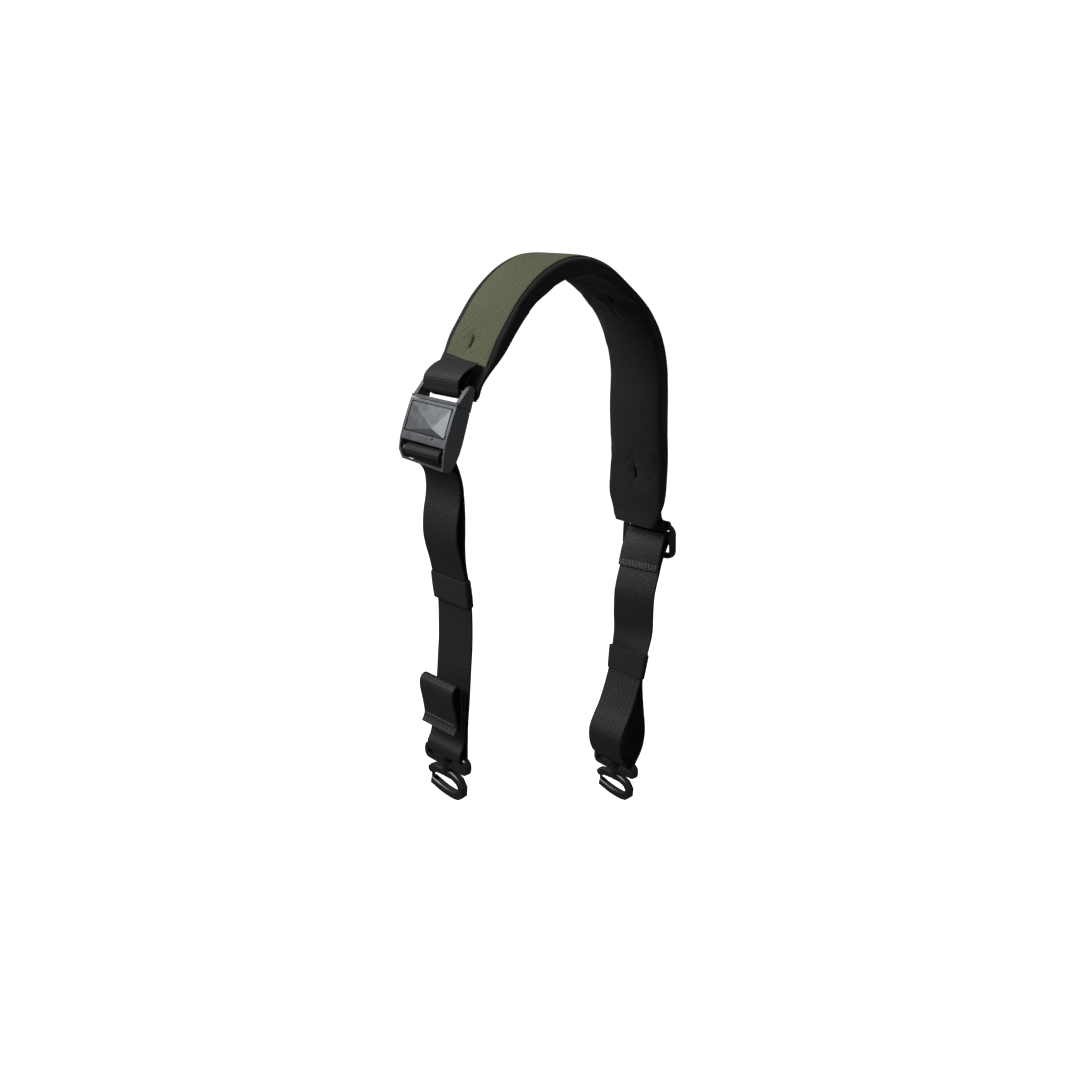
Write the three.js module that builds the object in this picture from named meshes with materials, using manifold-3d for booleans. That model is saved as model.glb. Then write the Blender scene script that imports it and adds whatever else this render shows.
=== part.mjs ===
// Crossbody strap: padded shoulder arch, webbing legs, buckle, slider and two swivel hooks.
// Millimetres, +Z up. The strap hangs in the XZ plane, its width runs along Y.
// Origin: the top of the arch where a shoulder carries it, 1.6 mm inside the soft inner face,
// which the load presses in.
import * as THREE from 'three';
import { mergeVertices } from 'three/addons/utils/BufferGeometryUtils.js';
import Module from 'manifold-3d';

const wasm = await Module();
wasm.setup();

// ---------- driving dimensions ----------
const GAP = 0.3;                 // clearance kept between touching pieces
const WEB_WIDTH = 38;            // nylon webbing
const WEB_THICK = 1.8;
const LAYER = WEB_THICK + GAP;   // centre to centre of two layers that lie together
const CURVE_STEP = 4.5;          // sample length along free webbing

const PAD_WIDTH = 55;
const PAD_THICK = 11.4;
// Extra thickness along the pad: [middle, reach, extra]
const PAD_FULLNESS = [[113, 43, 5.2], [186, 36, -3.6], [300, 45, 1.6]];
const PAD_SWELL = [[12, 46], [8, 30]];   // start and end of the swell at the left and right ends
const PAD_TIP_THICK = 3.6;       // flat sewn lip at both ends
const PAD_TIPS = [51, 45];       // width at the left and right ends
const PAD_STEP = 7.5;
const PAD_COLUMNS = 8;           // facets across the cover
const COVER_EDGES = [20, -24.6];   // far and near edge across the pad
const COVER_THICK = 1;
const COVER_START = 27;          // seam, measured along the pad from its left end
const COVER_END_MARGIN = 34;     // seam, measured from its right end
const DIMPLE = { depth: 2.4, radius: 6.5 };

const BAR_RADIUS = 1.9;          // bars that webbing is wrapped round
const WRAP_RADIUS = BAR_RADIUS + 0.4 + WEB_THICK / 2;
const ROLL_ROOM = 0.25;          // looser wrap on the buckle's bars, which are rolled a little

const KEEPER = { height: 20, wall: 0.7, corner: 1.3 };

const BUCKLE = {
  top: [-108, -80], tilt: 19.6, roll: 1, width: 50, cheek: 3.5,
  armBar: [6, 10.2], windowBar: [4, -34.8], windowBarRadius: 2.6,
  windowSides: [23.5, -23.5], foot: -44, footSlant: 1.5, cornerCut: [4.6, 5.4], rim: 1.5,
  panelTop: -2.2, panelBottom: -23.4, panelWidth: 45, panelBack: 0.8, groove: 0.6, peak: [-9, 4.4],
  latch: [1.4, 18, 1.7], recess: [4, 34, 16],
};

const LOOP = { width: 50, height: 13, depth: 5.6, bar: 4.8, end: 4.4, corner: 5.5, chamfer: 0.9 };
const HUB = { radius: 4.8, bore: 2.4, top: -6.2, bottom: -12.2 };
const HOOK = { depth: 6, bar: 6.2, top: -12.5, postRadius: 2.05, headRadius: 3.2, chamfer: 0.8 };
const GATE = { width: 2.8, leaf: 1.2, pin: 0.8, head: 1.7, pivot: [17.2, -18.4], reach: 9 };
const SLIDER = {
  width: 51, height: 29.2, thick: 3.8, end: 5.4, corner: 8, bar: 3.4, foot: 5, middle: 4.2, side: -0.4,
  chamfer: 0.9,
};

const LEFT_BAR = [-104, -340];   // D-loop bar that the left strap is folded round
const RIGHT_BAR = [75.5, -406];
const SLIDER_CENTRE = [109.4, -217.9];
const SLIDER_WRAP = SLIDER.bar / 2 + 0.65 + WEB_THICK / 2;

// ---------- tables ----------
// Pad centreline, left end to right end: [x, z, lean], lean = x gained per mm of +Y
const PAD_PATH = [
  [-91.6, -79.5, 0], [-88.4, -69.2, 0], [-82.9, -61.1, 0], [-75.2, -51.3, 0], [-64.4, -36.6, 0],
  [-46.9, -16.6, 0], [-25.3, -1.9, 0], [0, 5, 0], [26.4, 0.8, 0], [50.2, -12.9, 0], [70.9, -30.7, 0],
  [85.1, -51.9, 0], [92.1, -75.9, 0], [93.3, -110, 0], [94.8, -150, 0], [93.8, -180, 0.01],
  [91.4, -203, 0.03],
];

// Bar tacks that dimple the pad: distance from the left end along the centreline
const DIMPLES = [40, 198, 348];

// Webbing from the cover's left seam round the buckle's arm bar and back under itself: [x, z]
const ANCHOR_LEFT_OUT = [[-83.3, -54.6], [-89.4, -56], [-97, -59], [-102, -64.3]];
const ANCHOR_DRAWN = { aside: -2.3, between: [-70, -56] };   // mm along Y over a range of heights
const ANCHOR_LEFT_BACK = [[-96.3, -68.5], [-95, -65.4], [-92.6, -62]];

// Left strap, free tail end first: [x, z]
const LEFT_TAIL = [
  [-96.6, -224], [-97.7, -215], [-98.8, -206], [-101.5, -194], [-104.2, -185], [-106, -176],
  [-106.1, -167], [-105, -158], [-103.1, -149], [-102.4, -140], [-103.8, -131], [-107.2, -125.9],
  [-112.6, -121],
];
const LEFT_MAIN = [
  [-110.8, -112.5], [-107.7, -115.3], [-105.4, -120.2], [-102.4, -128], [-100.3, -136], [-99.4, -146],
  [-99, -158], [-99.2, -170], [-99.5, -182], [-98.9, -193], [-96.7, -206], [-95.6, -215], [-94.5, -224],
  [-94.2, -238], [-94.6, -256], [-95.9, -271], [-97.2, -286], [-98.5, -301], [-99.7, -314], [-100.4, -329],
];
const LEFT_FOLD = [
  [-107.4, -335.5], [-104.6, -330], [-103.2, -324], [-103, -314], [-102, -301], [-101.2, -292],
];

// Pull tab: a folded length of webbing, open to both sides
const PULL_TAB = [
  [-112.3, -318.2], [-109.5, -312.6], [-110.4, -304], [-112, -296], [-113.1, -289], [-112.2, -283.6],
  [-109, -281.2], [-106, -283.4], [-105, -289], [-104.6, -296], [-104.8, -304], [-105.3, -311],
  [-105.7, -316],
];

// Webbing from the cover's right seam round the slider's top bar and back up inside
const ANCHOR_RIGHT_OUT = [
  [101.8, -171], [101, -181], [100.5, -190], [101.2, -196.4], [104.2, -200], [107, -201.2],
];
const ANCHOR_RIGHT_BACK = [[104, -202.8], [102, -200.8]];

// Right strap: sewn flap end, round the slider's centre bar, down to the D-loop and back up
const RIGHT_FLAP = [[97.3, -242], [98.6, -236], [100.6, -228], [103.2, -220.5]];
const RIGHT_MAIN = [
  [110.6, -219.5], [107.2, -225], [103.6, -231.4], [101, -237.6], [99, -244], [95.8, -254], [93.6, -264],
  [93, -280], [92.8, -296], [89.8, -311], [88, -321], [86.2, -331], [86.6, -342], [88, -356], [90, -370],
  [90.6, -381], [88.8, -391], [85, -398.6], [81, -403.8],
];
const RIGHT_FOLD = [
  [70.6, -405], [65.6, -400], [62, -391], [61.8, -379], [66.6, -369], [72.2, -360], [77.4, -349],
  [81.4, -339], [84.1, -331], [85.9, -321], [87.6, -311.6],
];

// C-shaped hook ring, upper tip first: [y, z] below the loop bar
const RING = [
  [17.6, -18], [9, -16.6], [0, -16.2], [-8, -16.4], [-13.6, -18.4], [-16.8, -22.4], [-16.4, -27.2],
  [-12.8, -30.4], [-4, -31.2], [6, -30.3], [18, -27.7],
];

// Buckle outlines in its own tilted frame: x from the face inwards, z up along the face
const ARM_OUTLINE = [
  [-0.8, 0.2], [-0.9, 2], [0.4, 2.5], [5.4, 14.2], [6.8, 15.4], [9.2, 15.4], [10.8, 13.4],
  [11.6, 8], [11.8, 2.6], [12, -1.8], [7, 0.2],
];
const BRIDGE_OUTLINE = [[-0.8, 0.2], [-0.9, 2], [-0.3, 2.5], [10, 2.5], [11, 2], [12, -1.8], [7, 0.2]];

// Window through the lower half, higher in front so that its back wall hides the roll's top
const WINDOW_OUTLINE = [
  [-12, -29.2], [10.2, -29.2], [10.8, -30.3], [30, -30.3], [30, -42.4], [-12, -42.4],
];
const BODY_OUTLINE = [
  [-0.9, -0.2], [-1.5, -8], [-1.9, -20], [-1.7, -28.4], [-0.2, -36.5], [1.6, -44], [7, -44],
  [10.6, -38], [12, -30], [12.3, -22], [11.6, -2.4], [7, -0.2],
];

// ---------- shape helpers ----------
const material = (color, roughness) => new THREE.MeshStandardMaterial({ color, roughness });

const MATERIALS = {
  innerFabric: material('#17181a', 0.85),
  greenFabric: material('#4b5437', 0.9),
  webbing: material('#131416', 0.75),
  elastic: material('#26292a', 0.9),
  buckle: material('#3a3d40', 0.45),
  plastic: material('#141516', 0.4),
};

/** Points along a smooth curve through the rows, denser where the rows are close together. */
function smoothRows(rows, step = CURVE_STEP) {
  const knots = rows.map(([a, b]) => new THREE.Vector3(a, b, 0));
  const curve = new THREE.CatmullRomCurve3(knots, false, 'centripetal');
  const points = [];
  for (let i = 0; i < knots.length - 1; i += 1) {
    const pieces = Math.max(1, Math.round(knots[i].distanceTo(knots[i + 1]) / step));
    for (let j = 0; j < pieces; j += 1) {
      points.push(curve.getPoint((i + j / pieces) / (knots.length - 1)));
    }
  }
  points.push(knots[knots.length - 1].clone());
  return points.map((p) => new THREE.Vector2(p.x, p.y));
}

/** Rows on an arc round a centre, angles in degrees anticlockwise from the first axis. */
function arcRows([a, b], radius, from, to, count = 7) {
  return Array.from({ length: count }, (_, i) => {
    const angle = THREE.MathUtils.degToRad(from + ((to - from) * i) / (count - 1));
    return [a + radius * Math.cos(angle), b + radius * Math.sin(angle)];
  });
}

/** Unit normals of a polyline, turned a quarter left of its direction. */
function normalsOf(points) {
  return points.map((_, i) => {
    const before = points[Math.max(i - 1, 0)];
    const after = points[Math.min(i + 1, points.length - 1)];
    const along = after.clone().sub(before).normalize();
    return new THREE.Vector2(-along.y, along.x);
  });
}

/** Closed outline of a band of even thickness along a polyline. */
function bandShape(points, thick) {
  const normals = normalsOf(points);
  const left = points.map((p, i) => p.clone().addScaledVector(normals[i], thick / 2));
  const right = points.map((p, i) => p.clone().addScaledVector(normals[i], -thick / 2));
  return new THREE.Shape([...left, ...right.reverse()]);
}

/** Extrudes an outline drawn in (x, z) along Y, centred on y = 0. */
function extrudeAlongY(shape, width, options = {}) {
  const settings = { depth: width, bevelEnabled: false, curveSegments: 4, ...options };
  const geometry = new THREE.ExtrudeGeometry(shape, settings);
  return geometry.rotateX(Math.PI / 2).translate(0, width / 2, 0);
}

/** Extrudes an outline drawn in (y, z) along X, centred on x = 0. */
function extrudeAlongX(shape, depth, options = {}) {
  const settings = { depth, bevelEnabled: false, curveSegments: 4, ...options };
  const geometry = new THREE.ExtrudeGeometry(shape, settings);
  return geometry.translate(0, 0, -depth / 2).rotateX(Math.PI / 2).rotateZ(Math.PI / 2);
}

/** Webbing laid along rows of (x, z). */
function webbing(rows, step = CURVE_STEP) {
  return extrudeAlongY(bandShape(smoothRows(rows, step), WEB_THICK), WEB_WIDTH);
}

/** Rectangle with round corners, centred on (a, b). */
function roundedRect(path, a, b, width, height, radius) {
  const right = a + width / 2;
  const left = a - width / 2;
  const top = b + height / 2;
  const bottom = b - height / 2;
  path.moveTo(left + radius, bottom);
  path.lineTo(right - radius, bottom);
  path.absarc(right - radius, bottom + radius, radius, -Math.PI / 2, 0, false);
  path.lineTo(right, top - radius);
  path.absarc(right - radius, top - radius, radius, 0, Math.PI / 2, false);
  path.lineTo(left + radius, top);
  path.absarc(left + radius, top - radius, radius, Math.PI / 2, Math.PI, false);
  path.lineTo(left, bottom + radius);
  path.absarc(left + radius, bottom + radius, radius, Math.PI, Math.PI * 1.5, false);
  return path;
}

/** Cylinder along an axis, placed by its centre. */
function cylinder(radius, length, axis, x, y, z, sides = 16) {
  const geometry = new THREE.CylinderGeometry(radius, radius, length, sides);
  if (axis === 'x') geometry.rotateZ(Math.PI / 2);
  if (axis === 'z') geometry.rotateX(Math.PI / 2);
  return geometry.translate(x, y, z);
}

const box = (dx, dy, dz, x, y, z) => new THREE.BoxGeometry(dx, dy, dz).translate(x, y, z);

/** A closed geometry as a solid for joining and cutting. */
function solid(geometry) {
  const bare = geometry.clone();
  bare.deleteAttribute('normal');
  bare.deleteAttribute('uv');
  const merged = mergeVertices(bare, 1e-4);
  const mesh = new wasm.Mesh({
    numProp: 3,
    vertProperties: new Float32Array(merged.attributes.position.array),
    triVerts: new Uint32Array(merged.index.array),
  });
  return new wasm.Manifold(mesh);
}

/** A solid back to a three.js geometry. */
function geometryOf(manifold) {
  const mesh = manifold.getMesh();
  const geometry = new THREE.BufferGeometry();
  geometry.setAttribute('position', new THREE.BufferAttribute(new Float32Array(mesh.vertProperties), 3));
  geometry.setIndex(new THREE.BufferAttribute(new Uint32Array(mesh.triVerts), 1));
  geometry.computeVertexNormals();
  return geometry;
}

/** Joins the first list of geometries and cuts the second list out of it. */
function carve(added, cut = []) {
  let body = added.map(solid).reduce((sum, next) => sum.add(next));
  for (const tool of cut) body = body.subtract(solid(tool));
  return geometryOf(body);
}

function mesh(name, geometry, look) {
  const part = new THREE.Mesh(geometry, look.clone());
  part.name = name;
  return part;
}

// ---------- lean of the right leg ----------
/** The right leg's slant: x lost per mm of +Y, strong at the slider and reversed at the hook. */
function rightLean(z) {
  const gained = THREE.MathUtils.smoothstep(-z, 172, 200);
  const widened = THREE.MathUtils.smoothstep(-z, 212, 245);
  const reversed = THREE.MathUtils.smoothstep(-z, 280, 335);
  return 0.12 * gained + 0.06 * widened - 0.22 * reversed;
}

/** Slants a geometry of the right leg by the lean at each height. */
function leanRight(geometry) {
  const position = geometry.attributes.position;
  for (let i = 0; i < position.count; i += 1) {
    position.setX(i, position.getX(i) - rightLean(position.getZ(i)) * position.getY(i));
  }
  return geometry;
}

// ---------- pad ----------
const padKnots = PAD_PATH.map(([x, z, lean]) => new THREE.Vector3(x, lean * 100, z));
const padCurve = new THREE.CatmullRomCurve3(padKnots, false, 'centripetal');
const padFlat = PAD_PATH.map(([x, z]) => new THREE.Vector3(x, 0, z));
const padPlane = new THREE.CatmullRomCurve3(padFlat, false, 'centripetal');
padPlane.arcLengthDivisions = 1200;
const PAD_LENGTH = padPlane.getLength();

/** Station on the pad: centre, outward normal, lean, half width and half thickness. */
function padStation(s) {
  const t = THREE.MathUtils.clamp(s / PAD_LENGTH, 0, 1);
  const centre = padPlane.getPointAt(t);
  const along = padPlane.getTangentAt(t);
  const lean = padCurve.getPoint(padPlane.getUtoTmapping(t)).y / 100;
  const fromEnd = Math.min(s, PAD_LENGTH - s);
  const swell = THREE.MathUtils.smoothstep(fromEnd, ...PAD_SWELL[s < PAD_LENGTH / 2 ? 0 : 1]);
  const taper = THREE.MathUtils.smoothstep(fromEnd, ...(s < PAD_LENGTH / 2 ? [4, 54] : [0, 22]));
  const tip = PAD_TIPS[s < PAD_LENGTH / 2 ? 0 : 1];
  const thick = PAD_FULLNESS.reduce((sum, [at, reach, extra]) => (
    sum + extra * Math.exp(-(((s - at) / reach) ** 2))
  ), PAD_THICK);
  const rounding = 1 - 0.1 * (1 - THREE.MathUtils.smoothstep(fromEnd, 0, 6)) ** 2;
  return {
    centre,
    outward: new THREE.Vector3(-along.z, 0, along.x),
    lean,
    halfWidth: (THREE.MathUtils.lerp(tip, PAD_WIDTH, taper) / 2) * rounding,
    halfThick: THREE.MathUtils.lerp(PAD_TIP_THICK, thick, swell) / 2,
  };
}

/** How far the bar tacks pull both faces in at a place on the pad. */
function dimpleAt(s, y) {
  return DIMPLES.reduce((sum, at) => {
    const distance = Math.hypot(s - at, y) / DIMPLE.radius;
    return sum + DIMPLE.depth * Math.exp(-distance * distance);
  }, 0);
}

/** Point on the pad: side +1 is the outer face, -1 the inner one, lift is height above the face. */
function padPoint(station, s, y, side, lift) {
  const across = Math.min(Math.abs(y) / station.halfWidth, 1);
  const bulge = station.halfThick * (1 - across ** 6) ** (1 / 6);
  const height = side * (Math.max(bulge - dimpleAt(s, y), bulge * 0.3) + lift);
  const point = station.centre.clone().addScaledVector(station.outward, height);
  return point.set(point.x + station.lean * y, y, point.z);
}

/**
 * Closed skin over rings that all have the same number of points. Each quad is split from its
 * inner corner to its outer one, so two skins over the same places stay parallel.
 */
function loft(rings) {
  const size = rings[0].length;
  const positions = rings.flat().flatMap((p) => [p.x, p.y, p.z]);
  const index = [];
  for (let r = 0; r < rings.length - 1; r += 1) {
    for (let k = 0; k < size; k += 1) {
      const a = r * size + k;
      const b = r * size + ((k + 1) % size);
      const inwards = Math.abs(rings[r][k].y) > Math.abs(rings[r][(k + 1) % size].y);
      if (inwards) index.push(a, b, a + size, b, b + size, a + size);
      else index.push(a, b, b + size, a, b + size, a + size);
    }
  }
  for (const [base, flip] of [[0, true], [(rings.length - 1) * size, false]]) {
    for (let k = 1; k < size / 2; k += 1) {
      const quad = [base + k - 1, base + k, base + size - k - 1, base + ((size - k) % size)];
      const order = flip ? [0, 2, 1, 0, 3, 2] : [0, 1, 2, 0, 2, 3];
      index.push(...order.map((i) => quad[i]));
    }
  }
  const geometry = new THREE.BufferGeometry();
  geometry.setAttribute('position', new THREE.Float32BufferAttribute(positions, 3));
  geometry.setIndex(index.filter((_, i) => {
    const [a, b, c] = index.slice(i - (i % 3), i - (i % 3) + 3);
    return a !== b && b !== c && a !== c;
  }));
  geometry.computeVertexNormals();
  return geometry;
}

/** Distances along the pad, with stations exactly at both seams of the cover. */
function padDistances() {
  const seams = [0, COVER_START, PAD_LENGTH - COVER_END_MARGIN, PAD_LENGTH];
  const spans = seams.slice(1).map((to, i) => {
    const from = seams[i];
    const count = Math.round((to - from) / PAD_STEP);
    return Array.from({ length: count }, (_, k) => from + ((to - from) * k) / count);
  });
  return [...spans.flat(), PAD_LENGTH];
}

/** Places across the pad that core and cover share, from +Y to -Y. */
function acrossPad(station) {
  const limit = station.halfWidth - 2.2;
  const [far, near] = COVER_EDGES.map((edge) => THREE.MathUtils.clamp(edge, -limit, limit));
  return Array.from({ length: PAD_COLUMNS + 1 }, (_, k) => far + ((near - far) * k) / PAD_COLUMNS);
}

/** Foam core in smooth fabric: a rounded section swept over the shoulder arch. */
function padCore() {
  const rings = padDistances().map((s) => {
    const station = padStation(s);
    const edge = station.halfWidth;
    const shoulder = edge - 1.2;
    const face = [shoulder, ...acrossPad(station), -shoulder];
    const outer = face.map((y) => padPoint(station, s, y, 1, 0));
    const inner = [...face].reverse().map((y) => padPoint(station, s, y, -1, 0));
    return [padPoint(station, s, edge, 1, 0), ...outer, padPoint(station, s, -edge, 1, 0), ...inner];
  });
  return loft(rings);
}

/** Woven panel laid on the outer face, narrower than the pad. */
function padCover() {
  const [first, last] = [COVER_START - 0.01, PAD_LENGTH - COVER_END_MARGIN + 0.01];
  const covered = padDistances().filter((s) => s >= first && s <= last);
  const rings = covered.map((s) => {
    const station = padStation(s);
    const across = acrossPad(station);
    const top = across.map((y) => padPoint(station, s, y, 1, GAP + COVER_THICK));
    const under = [...across].reverse().map((y) => padPoint(station, s, y, 1, GAP));
    return [...top, ...under];
  });
  return loft(rings);
}

// ---------- buckle ----------
/** Outline in the buckle's own frame. */
const outline = (rows) => new THREE.Shape(rows.map(([x, z]) => new THREE.Vector2(x, z)));

/** Cheek plates at both sides, from one outline. */
function cheeks(rows) {
  const offset = (BUCKLE.width - BUCKLE.cheek) / 2;
  return [-offset, offset].map((y) => extrudeAlongY(outline(rows), BUCKLE.cheek).translate(0, y, 0));
}

/** Upper half: a bridge with two raised arms that hold the bar. */
function buckleUpper() {
  const [x, z] = BUCKLE.armBar;
  const bar = cylinder(BAR_RADIUS, BUCKLE.width - BUCKLE.cheek, 'y', x, 0, z, 14);
  const bridge = extrudeAlongY(outline(BRIDGE_OUTLINE), BUCKLE.width - BUCKLE.cheek);
  return carve([...cheeks(ARM_OUTLINE), bridge, bar]);
}

/** All below the slanting foot and outside the far lower corner, moved inwards by a margin. */
function footCut(margin = 0) {
  const [across, up] = BUCKLE.cornerCut;
  const [side, foot] = [BUCKLE.width / 2, BUCKLE.foot];
  const raised = foot + BUCKLE.footSlant + margin;
  const rows = [
    [side + 1, raised + up + 1.2 + margin], [side - across - margin, raised], [-side - 1, foot + margin],
    [-side - 1, foot - 2], [side + 1, foot - 2],
  ];
  return extrudeAlongX(outline(rows), 60);
}

/** Lower half: a block with a window, a bar across it and a pocket for the face panel. */
function buckleBody() {
  const [barX, barZ] = BUCKLE.windowBar;
  const through = 40;
  const [far, near] = BUCKLE.windowSides;
  const windowSide = (far + near) / 2;
  const opening = extrudeAlongY(outline(WINDOW_OUTLINE), far - near).translate(0, windowSide, 0);
  const window = carve([opening], [footCut(BUCKLE.rim)]);
  const bar = cylinder(BUCKLE.windowBarRadius, BUCKLE.width - BUCKLE.rim, 'y', barX, 0, barZ, 16);
  const sillFront = 4.6;
  const sill = box(through, far - near, 6, sillFront + through / 2, windowSide, BUCKLE.foot);
  const panelMiddle = (BUCKLE.panelTop + BUCKLE.panelBottom) / 2;
  const panelHeight = BUCKLE.panelTop - BUCKLE.panelBottom;
  const pocketX = BUCKLE.panelBack - through / 2;
  const pocket = box(through, BUCKLE.panelWidth, panelHeight, pocketX, 0, panelMiddle);
  const latch = box(...BUCKLE.latch, -1.9, -1, BUCKLE.panelBottom - 1.2);
  const recess = box(...BUCKLE.recess, 12.8, 0, panelMiddle);
  const block = extrudeAlongY(outline(BODY_OUTLINE), BUCKLE.width);
  const body = carve([block], [window, sill, pocket, recess, footCut()]);
  return carve([body, bar, latch]);
}

/** Face panel: a low pyramid with its peak near the lower edge. */
function buckleFace() {
  const halfY = BUCKLE.panelWidth / 2 - BUCKLE.groove;
  const top = BUCKLE.panelTop - BUCKLE.groove;
  const bottom = BUCKLE.panelBottom + BUCKLE.groove;
  const back = BUCKLE.panelBack - GAP;
  const front = { farTop: -1, nearTop: -1.8, nearBottom: -2.4, farBottom: -1.5 };
  const positions = [
    [back, halfY, top], [back, -halfY, top], [back, -halfY, bottom], [back, halfY, bottom],
    [front.farTop, halfY, top], [front.nearTop, -halfY, top],
    [front.nearBottom, -halfY, bottom], [front.farBottom, halfY, bottom],
    [-4, BUCKLE.peak[0], bottom + BUCKLE.peak[1]],
  ];
  const faces = [
    [0, 1, 2], [0, 2, 3], [0, 5, 1], [0, 4, 5], [1, 6, 2], [1, 5, 6], [2, 7, 3], [2, 6, 7],
    [3, 4, 0], [3, 7, 4],
    [4, 8, 5], [5, 8, 6], [6, 8, 7], [7, 8, 4],
  ];
  const geometry = new THREE.BufferGeometry();
  geometry.setAttribute('position', new THREE.Float32BufferAttribute(positions.flat(), 3));
  geometry.setIndex(faces.flat());
  geometry.computeVertexNormals();
  return geometry;
}

/** The buckle's tilted frame. */
function buckleGroup() {
  const group = new THREE.Group();
  group.position.set(BUCKLE.top[0], 0, BUCKLE.top[1]);
  group.rotation.set(THREE.MathUtils.degToRad(BUCKLE.roll), THREE.MathUtils.degToRad(BUCKLE.tilt), 0, 'YXZ');
  group.add(mesh('buckle_upper', buckleUpper(), MATERIALS.buckle));
  group.add(mesh('buckle_body', buckleBody(), MATERIALS.buckle));
  group.add(mesh('buckle_face', buckleFace(), MATERIALS.buckle));
  return group;
}

/** A point of the buckle's frame in the part's frame. */
function fromBuckle([x, z]) {
  const tilt = THREE.MathUtils.degToRad(BUCKLE.tilt);
  const [originX, originZ] = BUCKLE.top;
  return [
    originX + x * Math.cos(tilt) + z * Math.sin(tilt),
    originZ - x * Math.sin(tilt) + z * Math.cos(tilt),
  ];
}

// ---------- webbing pieces ----------
/** Left anchor, drawn towards -Y where it runs up to the cover. */
function anchorLeft() {
  const round = arcRows(fromBuckle(BUCKLE.armBar), WRAP_RADIUS + ROLL_ROOM, 165, 360, 10);
  const geometry = webbing([...ANCHOR_LEFT_OUT, ...round, ...ANCHOR_LEFT_BACK]);
  const position = geometry.attributes.position;
  for (let i = 0; i < position.count; i += 1) {
    const drawn = THREE.MathUtils.smoothstep(position.getZ(i), ...ANCHOR_DRAWN.between);
    position.setY(i, position.getY(i) + ANCHOR_DRAWN.aside * drawn);
  }
  return geometry;
}

function leftStrap() {
  const window = fromBuckle(BUCKLE.windowBar);
  const wrap = BUCKLE.windowBarRadius + 0.4 + ROLL_ROOM + WEB_THICK / 2;
  const roundWindow = arcRows(window, wrap, 235, 60, 10);
  const roundLoop = arcRows(LEFT_BAR, WRAP_RADIUS, 0, -180, 10);
  return webbing([...LEFT_TAIL, ...roundWindow, ...LEFT_MAIN, ...roundLoop, ...LEFT_FOLD]);
}

function anchorRight() {
  const bar = [SLIDER_CENTRE[0], SLIDER_CENTRE[1] + SLIDER.height / 2 - SLIDER.bar / 2];
  const round = arcRows(bar, SLIDER_WRAP, 75, -180, 12);
  return leanRight(webbing([...ANCHOR_RIGHT_OUT, ...round, ...ANCHOR_RIGHT_BACK]));
}

function rightStrap() {
  const bar = [SLIDER_CENTRE[0], SLIDER_CENTRE[1] + SLIDER.middle];
  const roundSlider = arcRows(bar, SLIDER_WRAP, 185, -25, 11);
  const roundLoop = arcRows(RIGHT_BAR, WRAP_RADIUS, -32, -132, 6);
  return leanRight(webbing([...RIGHT_FLAP, ...roundSlider, ...RIGHT_MAIN, ...roundLoop, ...RIGHT_FOLD]));
}

/** Elastic band round two layers of webbing, between two points of their middle line. */
function keeper([topX, topZ], [bottomX, bottomZ]) {
  const inner = { thick: LAYER + WEB_THICK + 2.4 * GAP, width: WEB_WIDTH + 2 * GAP };
  const shape = new THREE.Shape();
  roundedRect(shape, 0, 0, inner.thick + 2 * KEEPER.wall, inner.width + 2 * KEEPER.wall, KEEPER.corner);
  const hole = roundedRect(new THREE.Path(), 0, 0, inner.thick, inner.width, 0.5);
  shape.holes.push(hole);
  const options = { depth: KEEPER.height, steps: 4, bevelEnabled: false, curveSegments: 2 };
  const geometry = new THREE.ExtrudeGeometry(shape, options);
  geometry.translate(0, 0, -KEEPER.height / 2);
  geometry.rotateY(Math.atan2(topX - bottomX, topZ - bottomZ));
  return geometry.translate((topX + bottomX) / 2, 0, (topZ + bottomZ) / 2);
}

// ---------- D-loops, hooks and gates ----------
/** Chamfer of a given size, cut inwards from an outline. */
const chamfer = (size) => (
  { bevelEnabled: true, bevelThickness: size, bevelSize: size, bevelOffset: -size, bevelSegments: 1 }
);

/** D-loop: a round bar for the webbing between two ends, and a lower bar with the hook's hub. */
function dLoop() {
  const centre = BAR_RADIUS - LOOP.height / 2;
  const frame = roundedRect(new THREE.Shape(), 0, centre, LOOP.width, LOOP.height, LOOP.corner);
  const loop = extrudeAlongX(frame, LOOP.depth - 2 * LOOP.chamfer, chamfer(LOOP.chamfer));
  const inside = LOOP.width - 2 * LOOP.end;
  const floor = BAR_RADIUS - LOOP.height + LOOP.bar;
  const opening = box(LOOP.depth + 1, inside, 12, 0, 0, floor + 6);
  const bar = cylinder(BAR_RADIUS, inside + 2, 'y', 0, 0, 0, 16);
  const hub = cylinder(HUB.radius, HUB.top - HUB.bottom, 'z', 0, 0, (HUB.top + HUB.bottom) / 2, 20);
  const bore = cylinder(HUB.bore, 14, 'z', 0, 0, (HUB.top + HUB.bottom) / 2, 16);
  return carve([carve([loop], [opening]), bar, hub], [bore]);
}

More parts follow.
